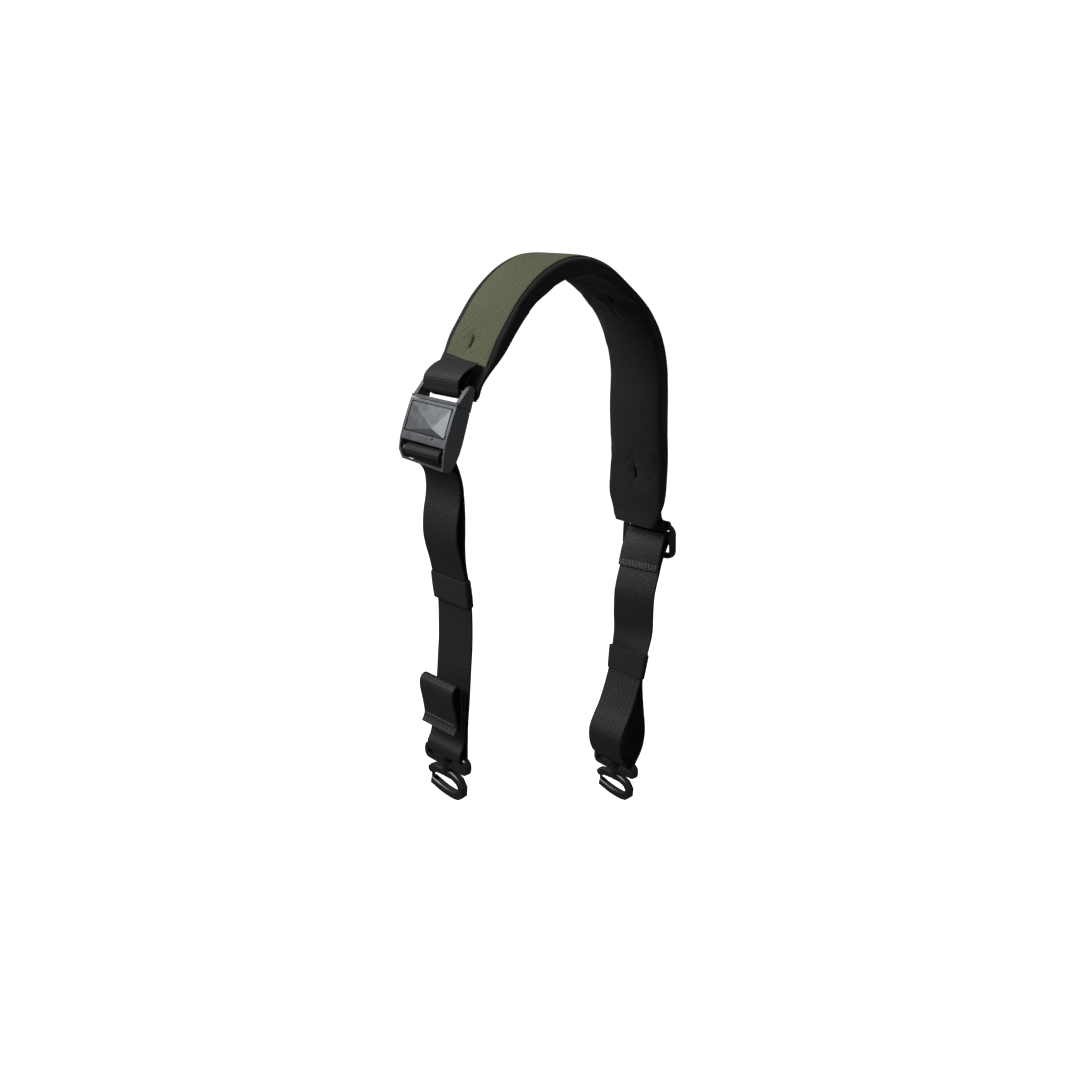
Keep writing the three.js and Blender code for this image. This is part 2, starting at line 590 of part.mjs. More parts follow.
/** Hook: a C-shaped ring on a headed post, with a slot and cheeks for the gate at its upper tip. */
function hookRing() {
  const band = bandShape(smoothRows(RING, 5), HOOK.bar);
  const ring = extrudeAlongX(band, HOOK.depth - 2 * HOOK.chamfer, chamfer(HOOK.chamfer));
  const [pivotY, pivotZ] = GATE.pivot;
  const knob = cylinder(3, HOOK.depth, 'x', 0, pivotY, pivotZ, 18);
  const postTop = HUB.top + GAP + 0.6;
  const post = cylinder(HOOK.postRadius, postTop - HOOK.top + 1, 'z', 0, 0, (postTop + HOOK.top - 1) / 2, 16);
  const head = cylinder(HOOK.headRadius, 1.2, 'z', 0, 0, postTop, 18);
  const collar = cylinder(4.4, 2.6, 'z', 0, 0, HOOK.top - 1.3, 20);
  const slot = box(GATE.width + 2 * GAP, 9, 8.4, 0, pivotY + 2, pivotZ - 1.6);
  const pinHole = cylinder(GATE.pin + GAP, HOOK.depth + 2, 'x', 0, pivotY, pivotZ, 14);
  const notch = box(GATE.width + 2 * GAP, 7.4, 4, 0, pivotY - 2.4, pivotZ - GATE.reach + 1.6);
  return carve([ring, knob, post, head, collar], [slot, pinHole, notch]);
}

/** Spring gate: a thin leaf on a pin, its free end resting in the lower tip. */
function hookGate() {
  const eye = cylinder(GATE.head, GATE.width, 'x', 0, 0, 0, 16);
  const pin = cylinder(GATE.pin, HOOK.depth - 0.4, 'x', 0, 0, 0, 12);
  const leaf = box(GATE.width, GATE.leaf, GATE.reach, 0, 0.4, -GATE.reach / 2);
  return carve([eye, pin, leaf]);
}

/** D-loop, hook and gate hanging below a bar. */
function hookAssembly(side, [x, z], lean = 0) {
  const group = new THREE.Group();
  group.position.set(x, 0, z);
  group.rotation.z = Math.atan(lean);
  group.add(mesh(`${side}_dloop`, dLoop(), MATERIALS.plastic));
  group.add(mesh(`${side}_hook`, hookRing(), MATERIALS.plastic));
  const gate = mesh(`${side}_gate`, hookGate(), MATERIALS.plastic);
  gate.position.set(0, ...GATE.pivot);
  group.add(gate);
  return group;
}

// ---------- slider ----------
/** Three-bar slider: two slots, the webbing round its top and centre bars. */
function slider() {
  const frame = new THREE.Shape();
  roundedRect(frame, 0, 0, SLIDER.width, SLIDER.height, SLIDER.corner);
  for (const way of [-1, 1]) {
    const near = SLIDER.middle + (way * SLIDER.bar) / 2;
    const far = way * (SLIDER.height / 2 - (way > 0 ? SLIDER.bar : SLIDER.foot));
    const slot = roundedRect(
      new THREE.Path(), 0, (near + far) / 2, SLIDER.width - 2 * SLIDER.end, Math.abs(far - near), 0.8,
    );
    frame.holes.push(slot);
  }
  const geometry = extrudeAlongX(frame, SLIDER.thick - 2 * SLIDER.chamfer, chamfer(SLIDER.chamfer));
  return leanRight(geometry.translate(SLIDER_CENTRE[0], SLIDER.side, SLIDER_CENTRE[1]));
}

// ---------- assembly ----------
const strap = new THREE.Group();
strap.add(mesh('pad_core', padCore(), MATERIALS.innerFabric));
strap.add(mesh('pad_cover', padCover(), MATERIALS.greenFabric));
strap.add(mesh('anchor_left', anchorLeft(), MATERIALS.webbing));
strap.add(buckleGroup());
strap.add(mesh('left_strap', leftStrap(), MATERIALS.webbing));
strap.add(mesh('left_keeper', keeper([-97.75, -206], [-95.55, -224]), MATERIALS.elastic));
strap.add(mesh('left_pull_tab', webbing(PULL_TAB, 4), MATERIALS.webbing));
strap.add(hookAssembly('left', LEFT_BAR));
strap.add(mesh('anchor_right', anchorRight(), MATERIALS.webbing));
strap.add(mesh('right_slider', slider(), MATERIALS.plastic));
strap.add(mesh('right_strap', rightStrap(), MATERIALS.webbing));
strap.add(mesh('right_keeper', leanRight(keeper([88.75, -311], [85.15, -331])), MATERIALS.elastic));
strap.add(hookAssembly('right', RIGHT_BAR, rightLean(RIGHT_BAR[1])));

export default strap;
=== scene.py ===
"""Crossbody strap, visual model: padded shoulder arch, webbing legs, buckle, slider and hooks.

Lengths in the tables are millimetres in the part's own frame: +Z up, +Y across the strap.
Meshes are worked out as whole numpy arrays and put into Blender in metres.
"""
import logging
import math
from dataclasses import dataclass
from enum import Enum
from typing import Callable, Sequence

import bmesh
import bpy
import numpy as np
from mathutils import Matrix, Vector


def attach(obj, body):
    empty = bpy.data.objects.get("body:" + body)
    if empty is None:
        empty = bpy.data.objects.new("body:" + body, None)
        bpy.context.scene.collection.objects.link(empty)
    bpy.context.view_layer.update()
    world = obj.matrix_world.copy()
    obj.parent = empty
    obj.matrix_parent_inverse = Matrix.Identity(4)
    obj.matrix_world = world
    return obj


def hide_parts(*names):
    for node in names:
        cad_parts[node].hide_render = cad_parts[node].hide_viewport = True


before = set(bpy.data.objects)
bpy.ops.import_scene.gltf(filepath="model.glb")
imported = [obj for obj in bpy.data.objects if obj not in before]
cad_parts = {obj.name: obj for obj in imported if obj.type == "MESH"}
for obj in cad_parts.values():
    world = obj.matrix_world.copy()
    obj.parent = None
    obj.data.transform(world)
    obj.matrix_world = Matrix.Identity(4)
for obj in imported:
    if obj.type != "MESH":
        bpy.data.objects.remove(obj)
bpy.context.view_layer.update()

LOG = logging.getLogger("crossbody_strap")
MM = 0.001
WEAVE_UV = "weave"
Rows = Sequence[Sequence[float]]
Array = np.ndarray
Object = bpy.types.Object
Material = bpy.types.Material
Socket = bpy.types.NodeSocket
Node = bpy.types.Node
Tree = bpy.types.NodeTree


# ---------------------------------------------------------------- shared sizes
WEB_WIDTH = 38.0
WEB_THICK = 1.8
WRAP_GAP = 0.4
ROLL_ROOM = 0.25
LOOP_BAR = 1.9
BAR_WRAP = LOOP_BAR + WRAP_GAP + WEB_THICK / 2
LEFT_BAR = (-104.0, -340.0)
RIGHT_BAR = (75.5, -406.0)
SLIDER_CENTRE = (109.4, -217.9)
BUCKLE_TOP = (-108.0, -80.0)
BUCKLE_TILT = math.radians(19.6)
# each row: slant taken on, and the depths below the origin where it begins and is full
RIGHT_SLANTS = ((0.12, 172, 200), (0.06, 212, 245), (-0.22, 280, 335))
LEFT_DRAW = -2.3
LEFT_DRAW_HEIGHTS = (-70, -56)


# ---------------------------------------------------------------- curve helpers
def smoothstep(value: Array | float, low: float, high: float) -> Array:
    """Smooth ramp from 0 at low to 1 at high: t squared times (3 minus 2 t)."""
    t = np.clip((np.asarray(value, float) - low) / (high - low), 0.0, 1.0)
    return t * t * (3.0 - 2.0 * t)


def bell(distance: Array | float, reach: float, power: int = 2) -> Array:
    """Bell curve: e to the minus (distance over reach) to an even power."""
    return np.exp(-((distance / reach) ** power))


def centripetal(rows: Rows, samples: int = 40) -> Array:
    """Centripetal Catmull-Rom curve through the rows.

    Each span is a cubic whose end slopes come from the chords on both sides, weighted by the
    square root of the chord lengths.

    Args:
        rows: knots, one row each.
        samples: points per span.

    Returns:
        Points along the curve, one row each.
    """
    knots = np.asarray(rows, float)
    padded = np.vstack([2 * knots[0] - knots[1], knots, 2 * knots[-1] - knots[-2]])
    gap = np.sqrt(np.linalg.norm(np.diff(padded, axis=0), axis=1))[:, None]
    p0, p1, p2, p3 = padded[:-3], padded[1:-2], padded[2:-1], padded[3:]
    d0, d1, d2 = gap[:-2], gap[1:-1], gap[2:]
    slope_in = ((p1 - p0) / d0 - (p2 - p0) / (d0 + d1) + (p2 - p1) / d1) * d1
    slope_out = ((p2 - p1) / d1 - (p3 - p1) / (d1 + d2) + (p3 - p2) / d2) * d1
    t = np.linspace(0.0, 1.0, samples, endpoint=False)[None, :, None]
    a, b = p1[:, None], slope_in[:, None]
    c = (-3 * p1 + 3 * p2 - 2 * slope_in - slope_out)[:, None]
    d = (2 * p1 - 2 * p2 + slope_in + slope_out)[:, None]
    curve = (a + b * t + c * t**2 + d * t**3).reshape(-1, knots.shape[1])
    return np.vstack([curve, knots[-1]])


def bunched(count: int, reach: float, even: float) -> Array:
    """Places from -reach to reach, closer together in the middle: a line mixed with a cube."""
    t = np.linspace(-1.0, 1.0, count)
    return reach * (even * t + (1 - even) * t**3)


def lengths(points: Array) -> Array:
    """Distance along a polyline at each of its points."""
    steps = np.linalg.norm(np.diff(points, axis=0), axis=1)
    return np.concatenate([[0.0], np.cumsum(steps)])


def resampled(points: Array, step: float) -> Array:
    """The same polyline with points an even distance apart, close to step.

    Args:
        points: corners of the polyline, one row each.
        step: wanted distance between points.

    Returns:
        Points on the polyline, one row each, its two ends kept.
    """
    along = lengths(points)
    count = max(2, int(round(along[-1] / step)) + 1)
    even = np.linspace(0.0, along[-1], count)
    return np.stack([np.interp(even, along, column) for column in points.T], axis=1)


def arc_rows(centre: Sequence[float], radius: float, start: float, end: float, count: int) -> list:
    """Points on a circle in the XZ plane, from angle start to angle end in degrees.

    Args:
        centre: x and z of the circle.
        radius: in mm.
        start: first angle, from +X towards +Z.
        end: last angle.
        count: number of points.

    Returns:
        Rows of x and z.
    """
    angle = np.radians(np.linspace(start, end, count))
    x = centre[0] + radius * np.cos(angle)
    z = centre[1] + radius * np.sin(angle)
    return np.stack([x, z], axis=1).tolist()


def right_lean(z: Array) -> Array:
    """Slant of the right leg: x lost per mm of +Y at a height."""
    return sum(slant * smoothstep(-z, begin, full) for slant, begin, full in RIGHT_SLANTS)


def no_lean(z: Array) -> Array:
    """No slant and no draw, for bands that hang square to the XZ plane."""
    return np.zeros_like(z)


def left_drift(z: Array) -> Array:
    """Sideways draw of the left anchor in mm along Y, full where it reaches the panel."""
    return LEFT_DRAW * smoothstep(z, *LEFT_DRAW_HEIGHTS)


def from_buckle(point: Sequence[float]) -> list[float]:
    """A point of the buckle's tilted frame in the part's XZ plane.

    Args:
        point: x and z in the tilted frame, from the top of the buckle.

    Returns:
        x and z in the part's frame.
    """
    cos, sin = math.cos(BUCKLE_TILT), math.sin(BUCKLE_TILT)
    x, z = point
    return [BUCKLE_TOP[0] + x * cos + z * sin, BUCKLE_TOP[1] - x * sin + z * cos]


# ---------------------------------------------------------------- mesh helpers
def new_object(name: str, points: Array, faces: list[Array], uv: list[Array] | None) -> Object:
    """Object from vertices in mm and groups of equal-sided faces.

    Args:
        name: object name.
        points: vertices, one row each.
        faces: arrays of vertex numbers, one face a row.
        uv: arrays of the same layout with two numbers a corner, in mm, or None.

    Returns:
        The new object, linked to the scene, its faces turned outwards.
    """
    volume = 0.0
    for group in faces:
        for k in range(1, group.shape[1] - 1):
            a, b, c = points[group[:, 0]], points[group[:, k]], points[group[:, k + 1]]
            volume += np.einsum("ij,ij->", a, np.cross(b, c))
    if volume < 0:
        faces = [group[:, ::-1] for group in faces]
        uv = None if uv is None else [group[:, ::-1] for group in uv]
    sides = np.concatenate([np.full(len(group), group.shape[1]) for group in faces])
    corners = np.concatenate([group.ravel() for group in faces])
    mesh = bpy.data.meshes.new(name)
    mesh.vertices.add(len(points))
    mesh.vertices.foreach_set("co", (points * MM).astype(np.float32).ravel())
    mesh.loops.add(len(corners))
    mesh.loops.foreach_set("vertex_index", corners.astype(np.int32))
    mesh.polygons.add(len(sides))
    starts = np.concatenate([[0], np.cumsum(sides)[:-1]])
    mesh.polygons.foreach_set("loop_start", starts.astype(np.int32))
    if uv is not None:
        layer = mesh.uv_layers.new(name=WEAVE_UV)
        flat = np.concatenate([group.reshape(-1, 2) for group in uv])
        layer.data.foreach_set("uv", flat.astype(np.float32).ravel())
    mesh.update(calc_edges=True)
    mesh.validate()
    mesh.polygons.foreach_set("use_smooth", np.ones(len(mesh.polygons), bool))
    obj = bpy.data.objects.new(name, mesh)
    bpy.context.scene.collection.objects.link(obj)
    return obj


def tube_faces(rows: int, columns: int, closed_rows: bool = False) -> Array:
    """Quads over a grid whose columns close into a ring, and whose rows may close too.

    Args:
        rows: number of rings.
        columns: points in a ring.
        closed_rows: whether the last ring joins the first.

    Returns:
        Vertex numbers, one quad a row.
    """
    last = rows if closed_rows else rows - 1
    i, j = np.meshgrid(np.arange(last), np.arange(columns), indexing="ij")
    up, side = (i + 1) % rows, (j + 1) % columns
    here, above = i * columns, up * columns
    quad = np.stack([here + j, here + side, above + side, above + j], axis=-1)
    return quad.reshape(-1, 4)


def tube_uv(along: Array, around: Array) -> Array:
    """Corner UVs of tube_faces: distance along the tube and distance around it.

    Args:
        along: distance of each ring.
        around: distance of each column.

    Returns:
        Two numbers for each corner of each quad.
    """
    wide = np.concatenate([around, [2 * around[-1] - around[-2]]])
    i, j = np.meshgrid(np.arange(len(along) - 1), np.arange(len(around)), indexing="ij")
    corners = [(i, j), (i, j + 1), (i + 1, j + 1), (i + 1, j)]
    uv = np.stack([np.stack([along[a], wide[b]], axis=-1) for a, b in corners], axis=-2)
    return uv.reshape(-1, 4, 2)


def end_faces(rows: int, columns: int) -> Array:
    """The two faces that close a tube of rings."""
    ring = np.arange(columns)
    return np.array([ring, (rows - 1) * columns + ring[::-1]])


def tube(name: str, grid: Array, along: Array, around: Array) -> Object:
    """Closed tube from a grid of rings, with one flat face over each end.

    Args:
        name: object name.
        grid: ring points, rows by columns by three, in mm.
        along: distance along the tube of each ring.
        around: distance around the tube of each column.

    Returns:
        The new object.
    """
    rows, columns = grid.shape[:2]
    faces = [tube_faces(rows, columns), end_faces(rows, columns)]
    end_uv = np.stack([grid[0][:, [1, 2]], grid[-1][::-1][:, [1, 2]]])
    return new_object(name, grid.reshape(-1, 3), faces, [tube_uv(along, around), end_uv])


def add_modifier(obj: Object, kind: str, **values: object) -> bpy.types.Modifier:
    """Adds a modifier and sets its values.

    Args:
        obj: object that takes it.
        kind: kind of modifier.
        **values: its settings by name.

    Returns:
        The new modifier.
    """
    modifier = obj.modifiers.new(kind.title(), kind)
    for key, value in values.items():
        setattr(modifier, key, value)
    return modifier


def joined(name: str, parts: Sequence[tuple[Array, Array]]) -> Object:
    """One object from several (vertices, quads) pairs that share a quad layout.

    Args:
        name: object name.
        parts: the pairs, their quads numbered from 0.

    Returns:
        The new object.
    """
    offsets = np.cumsum([0] + [len(points) for points, _ in parts[:-1]])
    points = np.concatenate([points for points, _ in parts])
    quads = np.concatenate([quads + shift for (_, quads), shift in zip(parts, offsets)])
    return new_object(name, points, [quads], None)


def place(obj: Object, material: Material, slot: str, body: str, *nodes: str) -> Object:
    """Dresses a finished piece, ties it to its CAD body and hides the CAD nodes it stands for.

    Args:
        obj: finished piece.
        material: its finish.
        slot: its material slot; not used.
        body: CAD body it rides on.
        *nodes: CAD nodes it stands for, if any.

    Returns:
        The same object.
    """
    obj.data.materials.clear()
    obj.data.materials.append(material)
    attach(obj, body)
    if nodes:
        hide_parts(*nodes)
    LOG.info("%s: %d faces, rides on %s", obj.name, len(obj.data.polygons), body)
    return obj


# ---------------------------------------------------------------- node helpers
class Graph:
    """Small builder for a node tree, so that each finish reads as a list of its layers."""

    def __init__(self, tree: Tree) -> None:
        """Keeps the tree that is built."""
        self.tree = tree

    def add(self, kind: str, inputs: dict | None = None, **settings: object) -> Node:
        """New node with its settings, its inputs given by name or number.

        Args:
            kind: node type.
            inputs: values or sockets by input name or number.
            **settings: the node's own settings.

        Returns:
            The new node.
        """
        node = self.tree.nodes.new(kind)
        for key, value in settings.items():
            setattr(node, key, value)
        self.fill(node, inputs or {})
        return node

    def fill(self, node: Node, inputs: dict) -> None:
        """Feeds several inputs of a node."""
        for key, value in inputs.items():
            self.feed(node.inputs[key], value)

    def feed(self, socket: Socket, value: object) -> None:
        """Links a socket to an input, or writes a plain value into it.

        Args:
            socket: input to feed.
            value: socket or plain value.
        """
        if isinstance(value, Socket):
            self.tree.links.new(value, socket)
        else:
            socket.default_value = value

    def math(self, operation: str, *values: object, clamp: bool = False) -> Socket:
        """Result of a Math node on the values."""
        inputs = dict(enumerate(values))
        return self.add("ShaderNodeMath", inputs, operation=operation, use_clamp=clamp).outputs[0]

    def remap(
        self, value: object, low: float, high: float, to_low: float = 0.0, to_high: float = 1.0
    ) -> Socket:
        """Value carried from one range to another, held at its ends."""
        inputs = {0: value, 1: low, 2: high, 3: to_low, 4: to_high}
        return self.add("ShaderNodeMapRange", inputs).outputs[0]

    def noise(self, scale: object, detail: float = 2.0, at: Socket | None = None) -> Socket:
        """Height of a noise texture, at its own coordinates when no place is given.

        Args:
            scale: value or socket.
            detail: octaves.
            at: coordinates, or None.

        Returns:
            The height socket.
        """
        inputs = {"Scale": scale, "Detail": detail}
        if at is not None:
            inputs["Vector"] = at
        return self.add("ShaderNodeTexNoise", inputs).outputs[0]

    def relief(self, shader: Node, height: Socket, depth_mm: float, strength: float) -> None:
        """Bumps a shader's normal by a height, its depth in mm."""
        inputs = {"Strength": strength, "Distance": depth_mm * MM, "Height": height}
        self.feed(shader.inputs["Normal"], self.add("ShaderNodeBump", inputs).outputs[0])

    def blend(self, factor: object, first: object, second: object) -> Socket:
        """Colour between two colours."""
        node = self.add("ShaderNodeMix", {0: factor, 6: first, 7: second}, data_type="RGBA")
        return node.outputs[2]


def group_tree(
    name: str, inputs: dict[str, float], outputs: Sequence[str]
) -> tuple[Graph, bpy.types.NodeOutputs, bpy.types.NodeInputs]:
    """New shader node group with float inputs and float outputs.

    Args:
        name: group name.
        inputs: default value of each named input.
        outputs: names of the outputs.

    Returns:
        The graph, its input node's sockets and its output node's sockets.
    """
    tree = bpy.data.node_groups.new(name, "ShaderNodeTree")
    for key, value in inputs.items():
        socket = tree.interface.new_socket(key, in_out="INPUT", socket_type="NodeSocketFloat")
        socket.default_value = value
    for key in outputs:
        tree.interface.new_socket(key, in_out="OUTPUT", socket_type="NodeSocketFloat")
    entry = tree.nodes.new("NodeGroupInput")
    leave = tree.nodes.new("NodeGroupOutput")
    return Graph(tree), entry.outputs, leave.inputs


def weave_group() -> Tree:
    """Woven surface from the piece's own UV map in mm.

    Ribs run across the piece as a cosine of the distance along it. They sway by a cosine of two
    column widths, so a large sway gives the bricks of a plain weave and a small one wavy ribs.
    Puts out the relief and the thread mask.

    Returns:
        The group's tree.
    """
    inputs = {
        "Pitch Along": 1.6, "Pitch Across": 1.2, "Sway": 0.25, "Column Relief": 0.5, "Wander": 0.1,
    }
    graph, given, result = group_tree("woven_surface", inputs, ("Height", "Thread"))
    uv = graph.add("ShaderNodeUVMap", uv_map=WEAVE_UV).outputs[0]
    parts = graph.add("ShaderNodeSeparateXYZ", {0: uv}).outputs
    noise = graph.noise(0.35, at=uv)
    wander = graph.math("MULTIPLY", graph.math("SUBTRACT", noise, 0.5), given["Wander"])
    column = graph.math("DIVIDE", parts[1], given["Pitch Across"])
    half_turn = graph.math("MULTIPLY", column, math.pi)
    sway = graph.math("MULTIPLY", graph.math("COSINE", half_turn), given["Sway"])
    row = graph.math("DIVIDE", parts[0], given["Pitch Along"])
    phase = graph.math("ADD", graph.math("ADD", row, sway), wander)
    rib = graph.math("COSINE", graph.math("MULTIPLY", phase, 2 * math.pi))
    rib = graph.math("MULTIPLY_ADD", rib, 0.5, 0.5)
    ridge = graph.math("ABSOLUTE", graph.math("SINE", half_turn))
    relief = given["Column Relief"]
    bed = graph.math("SUBTRACT", 1.0, relief)
    height = graph.math("MULTIPLY", rib, graph.math("MULTIPLY_ADD", ridge, relief, bed))
    graph.feed(result["Height"], height)
    graph.feed(result["Thread"], graph.remap(height, 0.15, 0.75))
    return graph.tree


def mottle_group() -> Tree:
    """Uneven tone: broad random clouds plus fine specks, in Object coordinates. On most finishes it is
    the tone of a used surface; on the woven finishes its light specks are painted glints.

    Returns:
        The group's tree.
    """
    inputs = {"Patch Scale": 18.0, "Speck Scale": 900.0, "Speck Share": 0.3}
    graph, given, result = group_tree("uneven_tone", inputs, ("Tone", "Speck"))
    place_in = graph.add("ShaderNodeTexCoord").outputs["Object"]
    cloud = graph.noise(given["Patch Scale"], 3.0, place_in)
    speck = graph.noise(given["Speck Scale"], 2.0, place_in)
    share = given["Speck Share"]
    clouds = graph.math("MULTIPLY", cloud, graph.math("SUBTRACT", 1.0, share))
    tone = graph.math("ADD", clouds, graph.math("MULTIPLY", speck, share))
    graph.feed(result["Tone"], graph.remap(tone, 0.3, 0.7))
    graph.feed(result["Speck"], speck)
    return graph.tree


def grain_group() -> Tree:
    """Spark-eroded grain of moulded plastic: small rounded cells over a faint ripple.

    Returns:
        The group's tree.
    """
    inputs = {"Cell Scale": 2600.0, "Ripple Scale": 120.0}
    graph, given, result = group_tree("moulded_grain", inputs, ("Height", "Sheen Patch"))
    place_in = graph.add("ShaderNodeTexCoord").outputs["Object"]
    cell_inputs = {"Vector": place_in, "Scale": given["Cell Scale"]}
    cell = graph.add("ShaderNodeTexVoronoi", cell_inputs, feature="SMOOTH_F1").outputs[0]
    ripple = graph.noise(given["Ripple Scale"], 2.0, place_in)
    graph.feed(result["Height"], graph.math("ADD", graph.math("MULTIPLY", cell, 0.5), ripple))
    graph.feed(result["Sheen Patch"], graph.remap(ripple, 0.35, 0.65))
    return graph.tree


class Effects:
    """The shared node groups, each built once."""

    def __init__(self) -> None:
        """Builds every group."""
        self.weave = weave_group()
        self.mottle = mottle_group()
        self.grain = grain_group()

    @staticmethod
    def use(graph: Graph, tree: Tree, **values: float) -> bpy.types.NodeOutputs:
        """Places a group in a material with its own values, and returns its outputs.

        Args:
            graph: graph of the material.
            tree: the group.
            **values: its inputs, in small letters with underscores.

        Returns:
            The outputs of the placed group.
        """
        node = graph.add("ShaderNodeGroup", node_tree=tree)
        for key, value in values.items():
            node.inputs[key.replace("_", " ").title()].default_value = value
        return node.outputs

    def uneven(self, graph: Graph, patch: float, speck: float, share: float) -> bpy.types.NodeOutputs:
        """Places the uneven tone, with its two scales and the specks' share.

        Args:
            graph: graph of the material.
            patch: scale of the clouds.
            speck: scale of the specks.
            share: share of the specks, 0 to 1.

        Returns:
            Its outputs, Tone and Speck.
        """
        return self.use(
            graph, self.mottle, patch_scale=patch, speck_scale=speck, speck_share=share
        )


def shaded(name: str) -> tuple[Material, Graph, Node]:
    """New material with a Principled shader, its graph and the shader node.

    Args:
        name: material name.

    Returns:
        The material, its graph and its shader node.
    """
    material = bpy.data.materials.new(name)
    material.use_nodes = True
    graph = Graph(material.node_tree)
    return material, graph, material.node_tree.nodes["Principled BSDF"]


def grey(value: float) -> tuple[float, float, float, float]:
    """Opaque grey."""
    return (value, value, value, 1.0)


def tint(colour: Sequence[float]) -> tuple[float, float, float, float]:
    """Opaque colour from three numbers."""
    return (*colour, 1.0)


# ---------------------------------------------------------------- finishes
@dataclass(frozen=True)
class WovenFinish:
    """Woven fabric: webbing, the olive panel or the elastic, told apart by pitch and colour."""

    name: str
    # valley and crown colours: the valleys darkened as painted shade, the crowns lightened as painted
    # highlight
    valley: tuple[float, float, float]
    crown: tuple[float, float, float]
    pitch_along: float
    pitch_across: float
    sway: float = 0.25
    column_relief: float = 0.5
    wander: float = 0.12
    roughness: float = 0.62
    sheen: float = 0.25
    relief_mm: float = 0.22
    # share of the uneven tone: random clouds, and light specks that are painted glints on the threads
    fade: float = 0.25
    specular: float = 0.3

    def material(self, effects: Effects) -> Material:
        """Painted highlight on the thread crowns and painted shade in the valleys, broad random tone
        with light specks painted as glints, relief from the weave.

        Args:
            effects: the shared node groups.

        Returns:
            The finished material.
        """
        material, graph, shader = shaded(self.name)
        weave = effects.use(
            graph, effects.weave, pitch_along=self.pitch_along, pitch_across=self.pitch_across,
            sway=self.sway, column_relief=self.column_relief, wander=self.wander,
        )
        mottle = effects.uneven(graph, 22.0, 1400.0, 0.45)
        # painted shade in the weave's valleys and painted highlight on its crowns, blended by the
        # thread mask
        thread = graph.blend(weave["Thread"], tint(self.valley), tint(self.crown))
        # random clouds of tone plus light specks painted as glints, blended towards a lighter crown
        # colour
        worn = graph.math("MULTIPLY", mottle["Tone"], self.fade)
        colour = graph.blend(worn, thread, tint([1.6 * c for c in self.crown]))
        rough = graph.remap(weave["Thread"], 0.0, 1.0, self.roughness + 0.18, self.roughness)
        graph.fill(shader, {
            "Base Color": colour, "Roughness": rough, "Specular IOR Level": self.specular,
            "Sheen Weight": self.sheen, "Sheen Roughness": 0.4,
        })
        graph.relief(shader, weave["Height"], self.relief_mm, 1.0)
        return material


@dataclass(frozen=True)
class KnitFinish:
    """Smooth black knit of the pad's inner face and sides."""

    name: str
    base: tuple[float, float, float]
    worn: tuple[float, float, float]

    def material(self, effects: Effects) -> Material:
        """Very fine knit rows, a soft sheen and a faint dusty bloom.

        Args:
            effects: the shared node groups.

        Returns:
            The finished material.
        """
        material, graph, shader = shaded(self.name)
        weave = effects.use(
            graph, effects.weave, pitch_along=0.9, pitch_across=0.7, sway=0.25,
            column_relief=0.7, wander=0.3,
        )
        mottle = effects.uneven(graph, 9.0, 700.0, 0.25)
        colour = graph.blend(mottle["Tone"], tint(self.base), tint(self.worn))
        graph.fill(shader, {
            "Base Color": colour, "Roughness": graph.remap(mottle["Tone"], 0.0, 1.0, 0.86, 0.74),
            "Specular IOR Level": 0.25, "Sheen Weight": 0.08, "Sheen Roughness": 0.5,
        })
        rows = graph.math("MULTIPLY", weave["Height"], 0.35)
        graph.relief(shader, graph.math("ADD", rows, mottle["Speck"]), 0.12, 0.7)
        return material


@dataclass(frozen=True)
class MouldedFinish:
    """Moulded plastic with a fine grain."""

    name: str
    base: tuple[float, float, float]
    bloom: tuple[float, float, float]
    roughness: float
    metallic: float = 0.0
    grain_mm: float = 0.03

    def material(self, effects: Effects) -> Material:
        """Even colour with a faint bloom, patches of uneven gloss and a fine grain.

        Args:
            effects: the shared node groups.

        Returns:
            The finished material.
        """
        material, graph, shader = shaded(self.name)
        mottle = effects.uneven(graph, 40.0, 1800.0, 0.5)
        grain = effects.use(graph, effects.grain, cell_scale=2600.0, ripple_scale=160.0)
        colour = graph.blend(mottle["Tone"], tint(self.base), tint(self.bloom))
        low, high = self.roughness - 0.05, self.roughness + 0.07
        rough = graph.remap(grain["Sheen Patch"], 0.0, 1.0, low, high)
        graph.fill(shader, {"Base Color": colour, "Roughness": rough, "Metallic": self.metallic})
        graph.relief(shader, grain["Height"], self.grain_mm, 0.6)
        return material


@dataclass(frozen=True)
class ThreadFinish:
    """Sewing thread: two plies twisted round each other."""

    name: str
    base: tuple[float, float, float]

    def material(self, effects: Effects) -> Material:
        """Slightly uneven colour with fine fibre relief.

        Args:
            effects: the shared node groups.

        Returns:
            The finished material.
        """
        material, graph, shader = shaded(self.name)
        mottle = effects.uneven(graph, 300.0, 3000.0, 0.5)
        dark = tint([0.6 * c for c in self.base])
        graph.fill(shader, {
            "Base Color": graph.blend(mottle["Tone"], dark, tint(self.base)),
            "Roughness": graph.remap(mottle["Tone"], 0.0, 1.0, 0.6, 0.5),
        })
        graph.relief(shader, mottle["Speck"], 0.05, 0.5)
        return material


